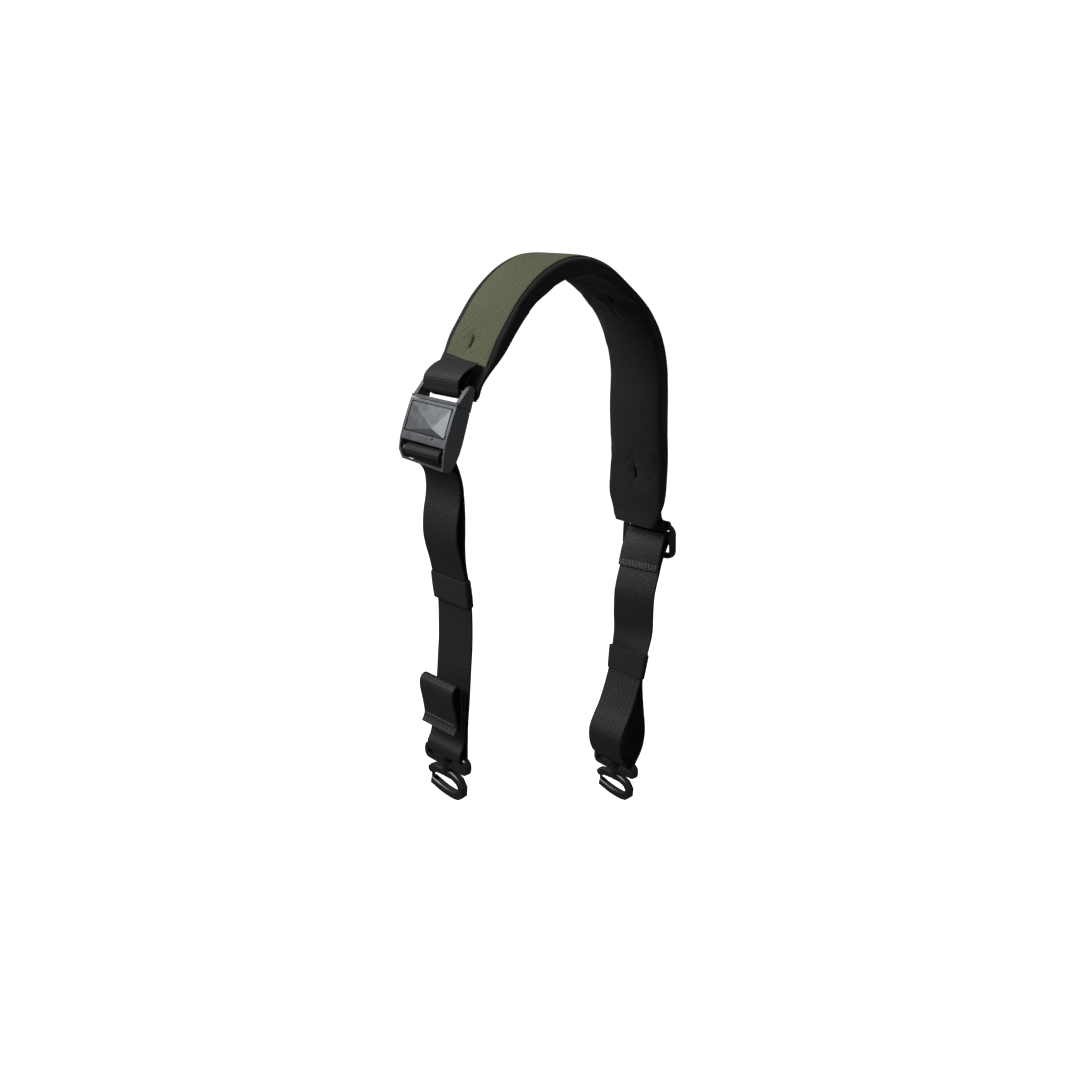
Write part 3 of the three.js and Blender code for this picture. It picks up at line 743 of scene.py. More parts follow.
class Finishes:
    """Every finish of the strap, as Blender materials."""

    def __init__(self) -> None:
        """Builds the shared effects and the materials."""
        effects = Effects()
        self.panel = WovenFinish(
            "olive_panel", (0.045, 0.053, 0.028), (0.105, 0.119, 0.068), 1.35, 1.1, sway=0.18,
            column_relief=0.5, wander=0.5, roughness=0.85, sheen=0.03, relief_mm=0.18, fade=0.2,
        ).material(effects)
        self.webbing = WovenFinish(
            "black_webbing", (0.0006, 0.0006, 0.0008), (0.0195, 0.0201, 0.0222), 1.9, 2.2,
            sway=0.24, column_relief=0.75, wander=0.5, roughness=0.44, sheen=0.0,
            relief_mm=0.12, fade=0.1,
        ).material(effects)
        self.elastic = WovenFinish(
            "charcoal_elastic", (0.004, 0.0043, 0.0046), (0.02, 0.021, 0.0225), 1.2, 1.0,
            column_relief=0.8, roughness=0.75, sheen=0.0, relief_mm=0.12, fade=0.15,
        ).material(effects)
        self.knit = KnitFinish(
            "inner_knit", (0.005, 0.0055, 0.0057), (0.0082, 0.0088, 0.009)
        ).material(effects)
        self.shell = MouldedFinish(
            "buckle_shell", (0.115, 0.121, 0.128), (0.145, 0.151, 0.159), 0.46, metallic=0.85
        ).material(effects)
        self.plate = MouldedFinish(
            "buckle_plate", (0.135, 0.143, 0.151), (0.162, 0.17, 0.178), 0.4,
            metallic=0.7, grain_mm=0.02,
        ).material(effects)
        self.acetal = MouldedFinish(
            "black_acetal", (0.005, 0.005, 0.0055), (0.0085, 0.0085, 0.0092), 0.32
        ).material(effects)
        self.thread = ThreadFinish("grey_thread", (0.26, 0.26, 0.265)).material(effects)
        self.dark_thread = ThreadFinish("black_thread", (0.008, 0.008, 0.009)).material(effects)
        # Tack thread on the olive panel, darkened almost to black as painted shade of the slit it lies
        # in.
        self.slit_shade_thread = ThreadFinish("slit_shade_thread", (0.006, 0.0065, 0.004)).material(effects)


# ---------------------------------------------------------------- ribbons
@dataclass
class Ribbon:
    """Flat band carried along a path in the XZ plane, its width along Y."""

    rows: Rows
    width: float = WEB_WIDTH
    thick: float = WEB_THICK
    lean: Callable[[Array], Array] = no_lean
    drift: Callable[[Array], Array] = no_lean
    trim: tuple[float, float] = (0.0, 0.0)
    step: float = 1.1
    columns: int = 26
    selvedge: float = 0.92
    cut_reach: float = 14.0
    tuck_reach: float = 3.0
    tuck_depth: float = 0.75
    tuck_thinning: float = 0.6

    def __post_init__(self) -> None:
        """Works out the centre line, its normals and its length."""
        self.centre = resampled(centripetal(self.rows), self.step)
        along = np.gradient(self.centre, axis=0)
        along /= np.linalg.norm(along, axis=1)[:, None]
        self.normal = np.stack([-along[:, 1], along[:, 0]], axis=1)
        self.length = lengths(self.centre)

    def at(self, u: Array, y: Array, lift: Array | float) -> Array:
        """Points at distance u along the band, y across it and lift above its middle layer.

        Args:
            u: distances along.
            y: places across, before the slant and the draw.
            lift: heights off the middle layer.

        Returns:
            Points in mm, in the shape that the three arrays share.
        """
        u, y, lift = np.broadcast_arrays(*(np.asarray(part, float) for part in (u, y, lift)))
        x, z = (np.interp(u, self.length, self.centre[:, k]) for k in (0, 1))
        nx, nz = (np.interp(u, self.length, self.normal[:, k]) for k in (0, 1))
        z = z + nz * lift
        return np.stack([x + nx * lift - self.lean(z) * y, y + self.drift(z), z], axis=-1)

    def where(self, x: float, z: float) -> float:
        """Distance along the band of the place nearest to a point of the XZ plane."""
        gap = np.linalg.norm(self.centre - np.array([x, z]), axis=1)
        return float(self.length[int(np.argmin(gap))])

    def front(self, u: float) -> float:
        """+1 or -1, whichever side of the band looks towards -X."""
        return -1.0 if np.interp(u, self.length, self.normal[:, 0]) > 0 else 1.0

    def build(self, name: str, seed: int, flare: float = 0.12) -> Object:
        """Band with rounded selvedges that wander a little.

        The section is a flat rounded rectangle. Each edge is moved by a sum of a few slow waves
        of the distance along the band. A trimmed start is cut at a slant, trim[0] + trim[1] y mm
        further along, and thins and sinks over its last tuck_reach mm as if it went under a seam.

        Args:
            name: object name.
            seed: number that fixes the waves.
            flare: size of the edge waves in mm.

        Returns:
            The band as an undressed object.
        """
        half, thick = self.width / 2, self.thick / 2
        radius = thick * self.selvedge
        flat = np.linspace(half - radius, -(half - radius), self.columns)
        turn = np.radians(np.linspace(80, -80, 5))
        right = np.stack([-(half - radius) - radius * np.cos(turn), thick * np.sin(turn)], axis=1)
        outer = np.stack([flat, np.full_like(flat, thick)], axis=1)
        section = np.vstack([outer, right, -outer, -right])
        rng = np.random.default_rng(seed)
        waves = rng.uniform(0.05, 0.3, (2, 3, 1)), rng.uniform(0, 2 * math.pi, (2, 3, 1))
        wander = np.sin(self.length[None, None, :] * waves[0] + waves[1]).mean(axis=1) * flare
        across, rise = section[None, :, 0], section[None, :, 1]
        moved = np.where(across > 0, wander[0][:, None], wander[1][:, None])
        y = across + moved * (np.abs(across) / half) ** 4
        start = 1 - smoothstep(self.length, 0, self.cut_reach)[:, None]
        u = self.length[:, None] + (self.trim[0] + self.trim[1] * y) * start
        tucked = (self.trim[0] > 0) * (1 - smoothstep(self.length, 0, self.tuck_reach))[:, None]
        lift = rise * (1 - self.tuck_thinning * tucked) - self.tuck_depth * tucked
        return tube(name, self.at(u, y, lift), self.length, lengths(section))


def capsules(starts: Array, ends: Array, normals: Array, radius: float, arch: float) -> list:
    """Short sewn stitches: a thin tube from start to end that arches off the cloth.

    Each stitch is a ring of six points carried over seven stations. The radius goes to nothing at
    both ends and the middle rises by arch along the normal.

    Args:
        starts: first points, one row each.
        ends: last points.
        normals: directions off the cloth.
        radius: radius at the middle.
        arch: rise at the middle.

    Returns:
        One (vertices, faces) pair for each stitch.
    """
    stations, sides = 7, 6
    t = np.linspace(0.0, 1.0, stations)
    run = ends - starts
    along = run / np.linalg.norm(run, axis=1)[:, None]
    across = np.cross(along, normals)
    across /= np.linalg.norm(across, axis=1)[:, None]
    up = np.cross(across, along)
    rise = np.sin(math.pi * t) * arch
    centre = starts[:, None] + run[:, None] * t[None, :, None] + up[:, None] * rise[None, :, None]
    size = radius * np.sqrt(np.clip(1 - (2 * t - 1) ** 4, 0.04, None))
    angle = np.linspace(0, 2 * math.pi, sides, endpoint=False)
    cos, sin = (wave(angle)[None, None, :, None] for wave in (np.cos, np.sin))
    ring = cos * across[:, None, None] + sin * up[:, None, None]
    points = centre[:, :, None] + ring * size[None, :, None, None]
    caps = np.array([[0, 1, 2, 3], [0, 3, 4, 5]])
    last = (stations - 1) * sides
    faces = np.vstack([tube_faces(stations, sides), caps[:, ::-1], caps + last])
    return [(stitch.reshape(-1, 3), faces) for stitch in points]


Stitches = tuple[Array, Array, Array]
ZIGZAG_CLEAR = 0.05
ROW_CLEAR = 0.03
ROW_GAP = 0.24


def zigzag(ribbon: Ribbon, u: float, pitch: float, swing: float, half: float) -> Stitches:
    """Corners of a zig-zag row across a ribbon: starts, ends and normals of its stitches.

    Args:
        ribbon: band it is sewn through.
        u: distance along the band of its middle line.
        pitch: step across the band.
        swing: half its width along the band.
        half: half its length across the band.

    Returns:
        Rows of points and directions, one for each stitch.
    """
    side = ribbon.front(u)
    count = int(2 * half / pitch)
    y = np.linspace(-half, half, count + 1)
    offsets = np.where(np.arange(count + 1) % 2 == 0, -swing, swing)
    points = ribbon.at(u + offsets, y, side * (ribbon.thick / 2 + ZIGZAG_CLEAR))
    above = ribbon.at(u + offsets, y, side * (ribbon.thick / 2 + ZIGZAG_CLEAR + 1))
    return points[:-1], points[1:], (above - points)[:-1]


def straight_row(ribbon: Ribbon, u: float, pitch: float, half: float) -> Stitches:
    """Straight lockstitch row across a ribbon: starts, ends and normals of its stitches.

    Args:
        ribbon: band it is sewn through.
        u: distance along the band.
        pitch: step across the band, gap included.
        half: half its length across the band.

    Returns:
        Rows of points and directions, one for each stitch.
    """
    side = ribbon.front(u)
    count = int(2 * half / pitch)
    y = np.linspace(-half, half, count + 1)
    level = side * (ribbon.thick / 2 + ROW_CLEAR)
    gap = ROW_GAP * pitch
    starts = ribbon.at(u, y[:-1] + gap, level)
    ends = ribbon.at(u, y[1:] - gap, level)
    return starts, ends, ribbon.at(u, y[:-1] + gap, level + side) - starts


# ---------------------------------------------------------------- pad
class PadFace(Enum):
    """The two faces of the pad."""

    OUTER = 1
    INNER = -1


@dataclass(frozen=True)
class Crease:
    """One soft fold in the pad's fabric.

    at and y place its middle, angle turns it from straight across, reach is its half length and
    width the half width of the groove. Its line bows by bow mm at the ends.
    """

    face: PadFace
    at: float
    y: float
    angle: float
    reach: float
    width: float
    depth: float
    bow: float = 0.0


@dataclass(frozen=True)
class PadCloth:
    """Cloth run that fills the pad's skin between its tacks and its sewn ends."""

    pressure: float = 4.0
    frames: int = 20
    slack: float = 0.9
    cap: float = 1.7
    row_step: float = 4.6
    columns: int = 40
    dent: float = 0.45
    held_radius: float = 5.0
    held_below: float = 0.05
    slack_over: tuple[float, float] = (2, 5)
    held_to: tuple[float, float] = (3, 16)
    fades_in: tuple[float, float] = (4, 24)
    mean_from: tuple[float, float] = (30, 60)

    def fill(self, points: Array, held: Array) -> Array:
        """Runs the cloth on a closed tube of rings and returns how far each point moved.

        Args:
            points: rings by columns by three, in mm.
            held: weight of each point's hold on its place, 0 free to 1 fixed.

        Returns:
            Displacements of the same layout in mm, none longer than cap.
        """
        flat = points.reshape(-1, 3)
        rows, columns = points.shape[:2]
        faces = [tube_faces(rows, columns), end_faces(rows, columns)]
        skin = new_object("pad_skin_run", flat, faces, None)
        group = skin.vertex_groups.new(name="held")
        for weight in np.unique(held.round(1)):
            chosen = np.flatnonzero(held.ravel().round(1) == weight)
            group.add(chosen.tolist(), float(weight), "REPLACE")
        cloth = skin.modifiers.new("Cloth", "CLOTH")
        self.stiffness(cloth.settings)
        cloth.settings.vertex_group_mass = "held"
        cloth.collision_settings.use_collision = False
        cloth.point_cache.frame_start, cloth.point_cache.frame_end = 1, self.frames
        scene = bpy.context.scene
        for number in range(1, self.frames + 1):
            scene.frame_set(number)
        filled = skin.evaluated_get(bpy.context.evaluated_depsgraph_get()).data
        moved = np.empty(len(flat) * 3, np.float32)
        filled.vertices.foreach_get("co", moved)
        scene.frame_set(1)
        mesh = skin.data
        bpy.data.objects.remove(skin)
        bpy.data.meshes.remove(mesh)
        shift = moved.reshape(-1, 3) / MM - flat
        size = np.linalg.norm(shift, axis=1)[:, None]
        shift *= self.cap * np.tanh(size / self.cap) / np.maximum(size, 1e-6)
        LOG.info("pad cloth: mean move %.2f mm, most %.2f mm", size.mean(), size.max())
        return shift.reshape(points.shape)

    def stiffness(self, settings: bpy.types.ClothSettings) -> None:
        """Light woven cover over foam: hard to stretch, easy to bend, no weight.

        Args:
            settings: cloth settings to fill in.
        """
        settings.quality = 6
        settings.mass = 0.25
        settings.tension_stiffness = settings.compression_stiffness = 14.0
        settings.shear_stiffness = 8.0
        settings.bending_stiffness = 0.4
        settings.air_damping = 2.0
        settings.use_pressure = True
        settings.uniform_pressure_force = self.pressure
        settings.effector_weights.gravity = 0.0


def cubic_weights(at: Array, nodes: Array, closed: bool) -> Array:
    """Rows of Catmull-Rom weights that read evenly numbered nodes at new places.

    Args:
        at: places to read, in the same measure as nodes.
        nodes: measure of each node, rising.
        closed: whether the last node is followed by the first.

    Returns:
        One row for each place, one column for each node.
    """
    count = len(nodes)
    place_in = np.interp(at, nodes, np.arange(count))
    if closed:
        place_in = np.interp(at, np.append(nodes, nodes[0] + 1.0), np.arange(count + 1))
    base = np.floor(place_in).astype(int)
    t = place_in - base
    weights = np.stack([
        -0.5 * t + t**2 - 0.5 * t**3, 1 - 2.5 * t**2 + 1.5 * t**3, 0.5 * t + 2 * t**2 - 1.5 * t**3,
        -0.5 * t**2 + 0.5 * t**3,
    ], axis=1)
    table = np.zeros((len(at), count))
    for k in range(4):
        column = (base + k - 1) % count if closed else np.clip(base + k - 1, 0, count - 1)
        np.add.at(table, (np.arange(len(at)), column), weights[:, k])
    return table


@dataclass
class ShoulderPad:
    """Foam pad in smooth knit with an olive woven panel on its outer face."""

    width: float = 55.0
    thick: float = 11.4
    row_step: float = 1.4
    fullness: Rows = ((113.0, 43.0, 5.2), (186.0, 36.0, -3.6), (300.0, 45.0, 1.6))
    swell_left: tuple[float, float] = (12.0, 46.0)
    swell_right: tuple[float, float] = (8.0, 30.0)
    tip_widths: tuple[float, float] = (51.0, 45.0)
    taper_left: tuple[float, float] = (4, 54)
    taper_right: tuple[float, float] = (0, 22)
    tip_rounding: float = 0.1
    tip_round_reach: float = 6.0
    tip_thick: float = 3.6
    panel_far: float = 20.0
    panel_near: float = -24.6
    panel_thick: float = 0.7
    panel_start: float = 27.0
    panel_end: float = 34.0
    panel_lift: float = 0.15
    panel_end_drop: float = 0.35
    tacks: tuple[float, ...] = (40.0, 198.0, 348.0)
    tack_length: float = 7.4
    tack_swing: float = 0.5
    tack_count: int = 22
    thread_radius: float = 0.3
    thread_lift: float = 0.12
    slit_depth: float = 3.0
    slit_width: float = 0.9
    pleat_depth: float = 0.42
    pleat_at: float = 7.5
    pleat_reach: float = 3.6
    rim_at: float = 24.2
    rim_reach: float = 1.7
    rim_height: float = 0.9
    seam_allowance: float = 0.8
    slant: float = 2.8
    rim_over: tuple[float, float] = (3.5, 6.0)
    folds_over: tuple[float, float] = (2.2, 5.0)
    squareness: float = 6.0
    least_crown: float = 0.2
    dimple_depth: float = 1.6
    dimple_radius: float = 6.0
    path: Rows = (
        (-91.6, 0, -79.5), (-88.4, 0, -69.2), (-82.9, 0, -61.1), (-75.2, 0, -51.3), (-64.4, 0, -36.6),
        (-46.9, 0, -16.6), (-25.3, 0, -1.9), (0, 0, 5), (26.4, 0, 0.8), (50.2, 0, -12.9),
        (70.9, 0, -30.7), (85.1, 0, -51.9), (92.1, 0, -75.9), (93.3, 0, -110), (94.8, 0, -150),
        (93.8, 1, -180), (91.4, 3, -203),
    )
    creases: tuple[Crease, ...] = (
        Crease(PadFace.INNER, 206, 4, 62, 12, 2.2, 0.55, 1.5),
        Crease(PadFace.INNER, 193, -9, -40, 9, 2.0, 0.4, -1.0),
        Crease(PadFace.INNER, 188, 10, 28, 9, 2.6, 0.35, 1.0),
        Crease(PadFace.INNER, 170, -4, 12, 17, 3.4, 0.45, 2.0),
        Crease(PadFace.INNER, 228, 2, -16, 15, 3.2, 0.45, -2.0),
        Crease(PadFace.INNER, 146, 6, -8, 16, 4.0, 0.3, 2.0),
        Crease(PadFace.INNER, 252, -6, 10, 14, 3.6, 0.3, 1.5),
        Crease(PadFace.INNER, 300, -16, 14, 9, 2.6, 0.45, 1.0),
        Crease(PadFace.INNER, 324, -18, -12, 8, 2.4, 0.35, -1.0),
        Crease(PadFace.INNER, 356, -7, 50, 9, 2.0, 0.4, 0.5),
        Crease(PadFace.INNER, 340, 8, -48, 9, 2.0, 0.4, 0.5),
        Crease(PadFace.OUTER, 48, 8, 48, 9, 1.8, 0.4, 0.5),
        Crease(PadFace.OUTER, 32, 8, -46, 8, 1.8, 0.4, 0.5),
        Crease(PadFace.OUTER, 48, -8, -50, 9, 1.8, 0.4, 0.5),
        Crease(PadFace.OUTER, 32, -8, 44, 8, 1.8, 0.4, 0.5),
    )
    cloth: PadCloth = PadCloth()

    def __post_init__(self) -> None:
        """Works out the centre line, its normals, the lean and the filled skin's moves."""
        curve = centripetal(self.path, 80)
        plane = np.stack([curve[:, 0], curve[:, 2]], axis=1)
        along = lengths(plane)
        self.total = float(along[-1])
        self._s = along
        self._x, self._z, self._lean = curve[:, 0], curve[:, 2], curve[:, 1] / 100.0
        slope = np.gradient(plane, axis=0)
        slope /= np.linalg.norm(slope, axis=1)[:, None]
        self._nx, self._nz = -slope[:, 1], slope[:, 0]
        self.fill()

    def fill(self) -> None:
        """Runs the cloth on a slack, coarse skin and keeps its moves by distance and turn.

        The mean swelling of each column is taken off, so that the section keeps its designed
        size and only the pulls round the tacks and the unevenness stay.
        """
        cloth = self.cloth
        rows = int(round(self.total / cloth.row_step)) + 1
        self._run_s = np.linspace(0.0, self.total, rows)
        self._run_turn = np.linspace(0.0, 1.0, cloth.columns, endpoint=False)
        ring = self.section(self._run_turn)
        s = self._run_s[:, None] + 0 * ring[None, :, 0]
        y = ring[None, :, 0] * self.half_width(s)
        half = self.half_thick(s)
        rise = ring[None, :, 1] * (half - cloth.slack * smoothstep(half, *cloth.slack_over))
        hollow = sum(bell(np.hypot(s - at, y), self.dimple_radius) for at in self.tacks)
        held = sum(bell(np.hypot(s - at, y), cloth.held_radius, 4) for at in self.tacks)
        held = np.clip(held + 1 - smoothstep(self.from_end(s), *cloth.held_to), 0, 1)
        points = self.surface(s, y, rise * (1 - cloth.dent * hollow))
        moves = cloth.fill(points, held)
        nx, nz = np.interp(s, self._s, self._nx), np.interp(s, self._s, self._nz)
        dx, wide, dz = np.moveaxis(moves, -1, 0)
        out, along = dx * nx + dz * nz, dx * nz - dz * nx
        free = (held < cloth.held_below) * smoothstep(self.from_end(s), *cloth.mean_from)
        share = free / np.maximum(free.sum(axis=0), 1e-6)
        out, wide = (part - (part * share).sum(axis=0) for part in (out, wide))
        ends = smoothstep(self.from_end(s), *cloth.fades_in)[..., None]
        self._moves = np.stack([out * nx + along * nz, wide, out * nz - along * nx], axis=-1) * ends

    def from_end(self, s: Array) -> Array:
        """Distance from the nearer tip."""
        return np.minimum(s, self.total - s)

    def moves(self, s: Array, turn: Array) -> Array:
        """Moves of the filled skin, read at rows s and at turns round the section.

        Args:
            s: distances along the pad.
            turn: turns round the section, 0 to 1.

        Returns:
            Moves in mm, rows by turns by three.
        """
        by_row = cubic_weights(s, self._run_s, closed=False)
        by_turn = cubic_weights(turn, self._run_turn, closed=True)
        return np.einsum("ra,abk,cb->rck", by_row, self._moves, by_turn)

    def half_width(self, s: Array) -> Array:
        """Half width, tapering to both tips and rounded at the very end.

        Args:
            s: distances along the pad.

        Returns:
            Half width at each.
        """
        end = self.from_end(s)
        left, right = smoothstep(end, *self.taper_left), smoothstep(end, *self.taper_right)
        taper = np.where(s < self.total / 2, left, right)
        tip = np.where(s < self.total / 2, *self.tip_widths)
        rounding = 1 - self.tip_rounding * (1 - smoothstep(end, 0, self.tip_round_reach)) ** 2
        return (tip + (self.width - tip) * taper) / 2 * rounding

    def half_thick(self, s: Array) -> Array:
        """Half thickness, sewn flat at both ends and fuller over the left of the arch.

        Args:
            s: distances along the pad.

        Returns:
            Half thickness at each.
        """
        left, right = smoothstep(s, *self.swell_left), smoothstep(self.total - s, *self.swell_right)
        swell = np.where(s < self.total / 2, left, right)
        full = self.thick + sum(extra * bell(s - at, reach) for at, reach, extra in self.fullness)
        return (self.tip_thick + (full - self.tip_thick) * swell) / 2

    def tack_pull(self, s: Array, y: Array) -> Array:
        """Depth pulled in by the bar tacks: a round hollow, a narrow slit and small pleats.

        Args:
            s: distances along the pad.
            y: places across it.

        Returns:
            Depth at each point.
        """
        total = np.zeros(np.broadcast(s, y).shape)
        for at in self.tacks:
            ds, dy = s - at, y * np.ones_like(s)
            beyond = np.maximum(np.abs(ds) - self.tack_length / 2, 0.0)
            distance = np.hypot(ds, dy)
            slit = bell(np.hypot(beyond, dy), self.slit_width)
            pleat = np.cos(4 * np.arctan2(dy, ds)) * bell(distance - self.pleat_at, self.pleat_reach)
            total += self.dimple_depth * bell(distance, self.dimple_radius)
            total += self.slit_depth * slit + self.pleat_depth * pleat
        return total

    def folds(self, s: Array, y: Array, face: PadFace) -> Array:
        """Height of the soft folds: a groove between two low ridges along each bowed line.

        Across a fold at distance d the height is the second derivative of a bell curve, and it
        fades with the fourth power of the distance along the fold.

        Args:
            s: distances along the pad.
            y: places across it.
            face: face whose folds are summed.

        Returns:
            Height at each point, below 0 in the grooves.
        """
        total = np.zeros(np.broadcast(s, y).shape)
        for crease in self.creases:
            if crease.face is not face:
                continue
            turn = math.radians(crease.angle)
            ds, dy = s - crease.at, y - crease.y
            across = ds * math.cos(turn) + dy * math.sin(turn)
            along = (dy * math.cos(turn) - ds * math.sin(turn)) / crease.reach
            d = (across - crease.bow * along**2) / crease.width
            total -= crease.depth * (1 - d**2) * np.exp(-(d**2) / 2) * bell(along, 1.0, 4)
        return total

    def surface(self, s: Array, y: Array, height: Array) -> Array:
        """Points at distance s along the pad, y across and height above its middle.

        Args:
            s: distances along the pad.
            y: places across it.
            height: heights, above 0 on the outer side.

        Returns:
            Points in mm.
        """
        x, z = np.interp(s, self._s, self._x), np.interp(s, self._s, self._z)
        nx, nz = np.interp(s, self._s, self._nx), np.interp(s, self._s, self._nz)
        lean = np.interp(s, self._s, self._lean)
        return np.stack([x + nx * height + lean * y, y + 0 * x, z + nz * height], axis=-1)

    def face_height(self, s: Array, y: Array, face: PadFace) -> Array:
        """Height of a face above the middle, without sign: crown, tacks, rolled rim and folds.

        Args:
            s: distances along the pad.
            y: places across it.
            face: face that is read.

        Returns:
            Height at each point.
        """
        half, edge = self.half_thick(s), self.half_width(s)
        inside = 1 - np.clip(np.abs(y) / edge, 0, 1) ** self.squareness
        crown = half * inside ** (1 / self.squareness)
        pulled = np.maximum(crown - self.tack_pull(s, y), crown * self.least_crown)
        rim = (face is PadFace.OUTER) * self.rim_height * bell(y - self.rim_at, self.rim_reach)
        rim = rim * smoothstep(half, *self.rim_over)
        return pulled + rim + self.folds(s, y, face) * smoothstep(half, *self.folds_over)

    def section(self, turn: Array) -> Array:
        """Ring of (share of half width, share of half thickness) at turns 0 to 1 round the pad.

        The ring is a superellipse. It starts at the far edge and crosses the outer face first.

        Args:
            turn: turns, 0 to 1.

        Returns:
            One row for each turn.
        """
        angle, power = 2 * math.pi * turn, self.squareness
        cos, sin = np.cos(angle), np.sin(angle)
        size = (np.abs(cos) ** power + np.abs(sin) ** power) ** (-1 / power)
        return np.stack([cos * size, sin * size], axis=1)

    def turn_of(self, share: Array) -> Array:
        """Turn at which the outer face's ring has a given share of the half width.

        Args:
            share: shares of the half width, -1 to 1.

        Returns:
            Turns between 0 and 0.5.
        """
        fine = np.linspace(0.0, 0.5, 400)
        across = self.section(fine)[:, 0]
        return np.interp(-share, -across, fine)

    def body(self) -> Object:
        """Closed cushion: the section carried along the pad, filled and pulled in at the tacks.

        Returns:
            The cushion as an undressed object.
        """
        across, edge = 75, 11
        s = np.linspace(0.0, self.total, int(self.total / self.row_step))
        face_turn = self.turn_of(bunched(across, 0.93, 0.4)[::-1])
        edge_turn = np.linspace(face_turn[-1], 1 - face_turn[-1], edge + 2)[1:-1]
        far_edge = np.linspace(-face_turn[0], face_turn[0], edge + 2)[1:-1]
        turn = np.concatenate([face_turn, edge_turn, 1 - face_turn[::-1], far_edge % 1.0])
        ring = self.section(turn)
        grid_s = s[:, None] + 0 * turn[None, :]
        y = ring[None, :, 0] * self.half_width(s)[:, None]
        faces = np.repeat([1, 0, -1, 0], [across, edge, across, edge])[None, :]
        flat = self.half_thick(s)[:, None] * ring[None, :, 1]
        outer = self.face_height(grid_s, y, PadFace.OUTER)
        inner = -self.face_height(grid_s, y, PadFace.INNER)
        height = np.where(faces > 0, outer, np.where(faces < 0, inner, flat))
        grid = self.surface(grid_s, y, height) + self.moves(s, turn % 1.0)
        around = lengths(ring * [self.width / 2, self.thick / 2])
        return tube("pad_body", grid, s, around)

    def panel(self) -> Object:
        """Olive panel: a thin closed skin over the outer face, its left end cut at a slant.

        Returns:
            The panel as an undressed object.
        """
        inside = 83
        across = np.concatenate([[-1, -0.995], bunched(inside, 0.985, 0.42), [0.995, 1]])
        drop = np.concatenate([[0.4, 0.12], np.zeros(inside), [0.12, 0.4]])
        steps = np.linspace(0.0, 1.0, 270)
        middle = (self.panel_far + self.panel_near) / 2
        half = (self.panel_far - self.panel_near) / 2
        y = middle + across[None, :] * half + 0 * steps[:, None]
        start = self.panel_start - self.seam_allowance + self.slant * across[None, :]
        s = start + (self.total - self.panel_end - start) * steps[:, None]
        base = self.face_height(s, y, PadFace.OUTER) + self.panel_lift
        fade = np.minimum(steps, 1 - steps)[:, None] * self.total
        end_drop = self.panel_end_drop * (1 - smoothstep(fade, 0, 1.2))
        row = s[:, len(across) // 2]
        moved = self.moves(row, self.turn_of((middle + across * half) / (self.width / 2)))
        top = self.surface(s, y, base + self.panel_thick - drop[None, :] - end_drop) + moved
        under = (self.surface(s, y, base + 0.05) + moved)[:, ::-1]
        grid = np.concatenate([top, under], axis=1)
        around = np.concatenate([across * half, across * half + 2 * half + 1])
        return tube("pad_panel", grid, row, around)

    def tack(self, at: float, face: PadFace, name: str) -> Object:
        """Bar tack: tight thread zig-zag along the pad, lying in its slit.

        Args:
            at: distance along the pad.
            face: face it lies on.
            name: object name.

        Returns:
            The tack as an undressed object.
        """
        corners = self.tack_count + 1
        s = at + np.linspace(-self.tack_length / 2, self.tack_length / 2, corners)
        y = np.where(np.arange(corners) % 2 == 0, -self.tack_swing, self.tack_swing)
        lift = self.thread_lift
        if face is PadFace.OUTER:
            lift += self.panel_lift + self.panel_thick
        level = (self.face_height(s, 0 * y, face) + lift) * face.value
        quarter = np.array([0.25 if face is PadFace.OUTER else 0.75])
        moved = self.moves(s, quarter)[:, 0]
        points = self.surface(s, y, level) + moved
        above = self.surface(s, y, level + face.value) + moved
        normals = (above - points)[:-1]
        stitches = capsules(points[:-1], points[1:], normals, self.thread_radius, self.thread_lift)
        return joined(name, stitches)

    def build(self, finishes: Finishes) -> None:
        """Args:
            finishes: every finish.
        """
        body = place(self.body(), finishes.knit, "inner_fabric", "strap", "pad_core")
        panel = place(self.panel(), finishes.panel, "cover_fabric", "strap", "pad_cover")
        looks = (
            (PadFace.OUTER, finishes.slit_shade_thread, "cover_fabric"),
            (PadFace.INNER, finishes.dark_thread, "inner_fabric"),
        )
        for number, at in enumerate(self.tacks, 1):
            for face, thread, slot in looks:
                name = f"pad_tack_{face.name.lower()}_{number}"
                place(self.tack(at, face, name), thread, slot, "strap")


# ---------------------------------------------------------------- webbing legs
def lay(ribbon: Ribbon, name: str, seed: int, finishes: Finishes, node: str) -> None:
    """Builds one length of webbing and dresses it."""
    place(ribbon.build(name, seed), finishes.webbing, "webbing", "strap", node)


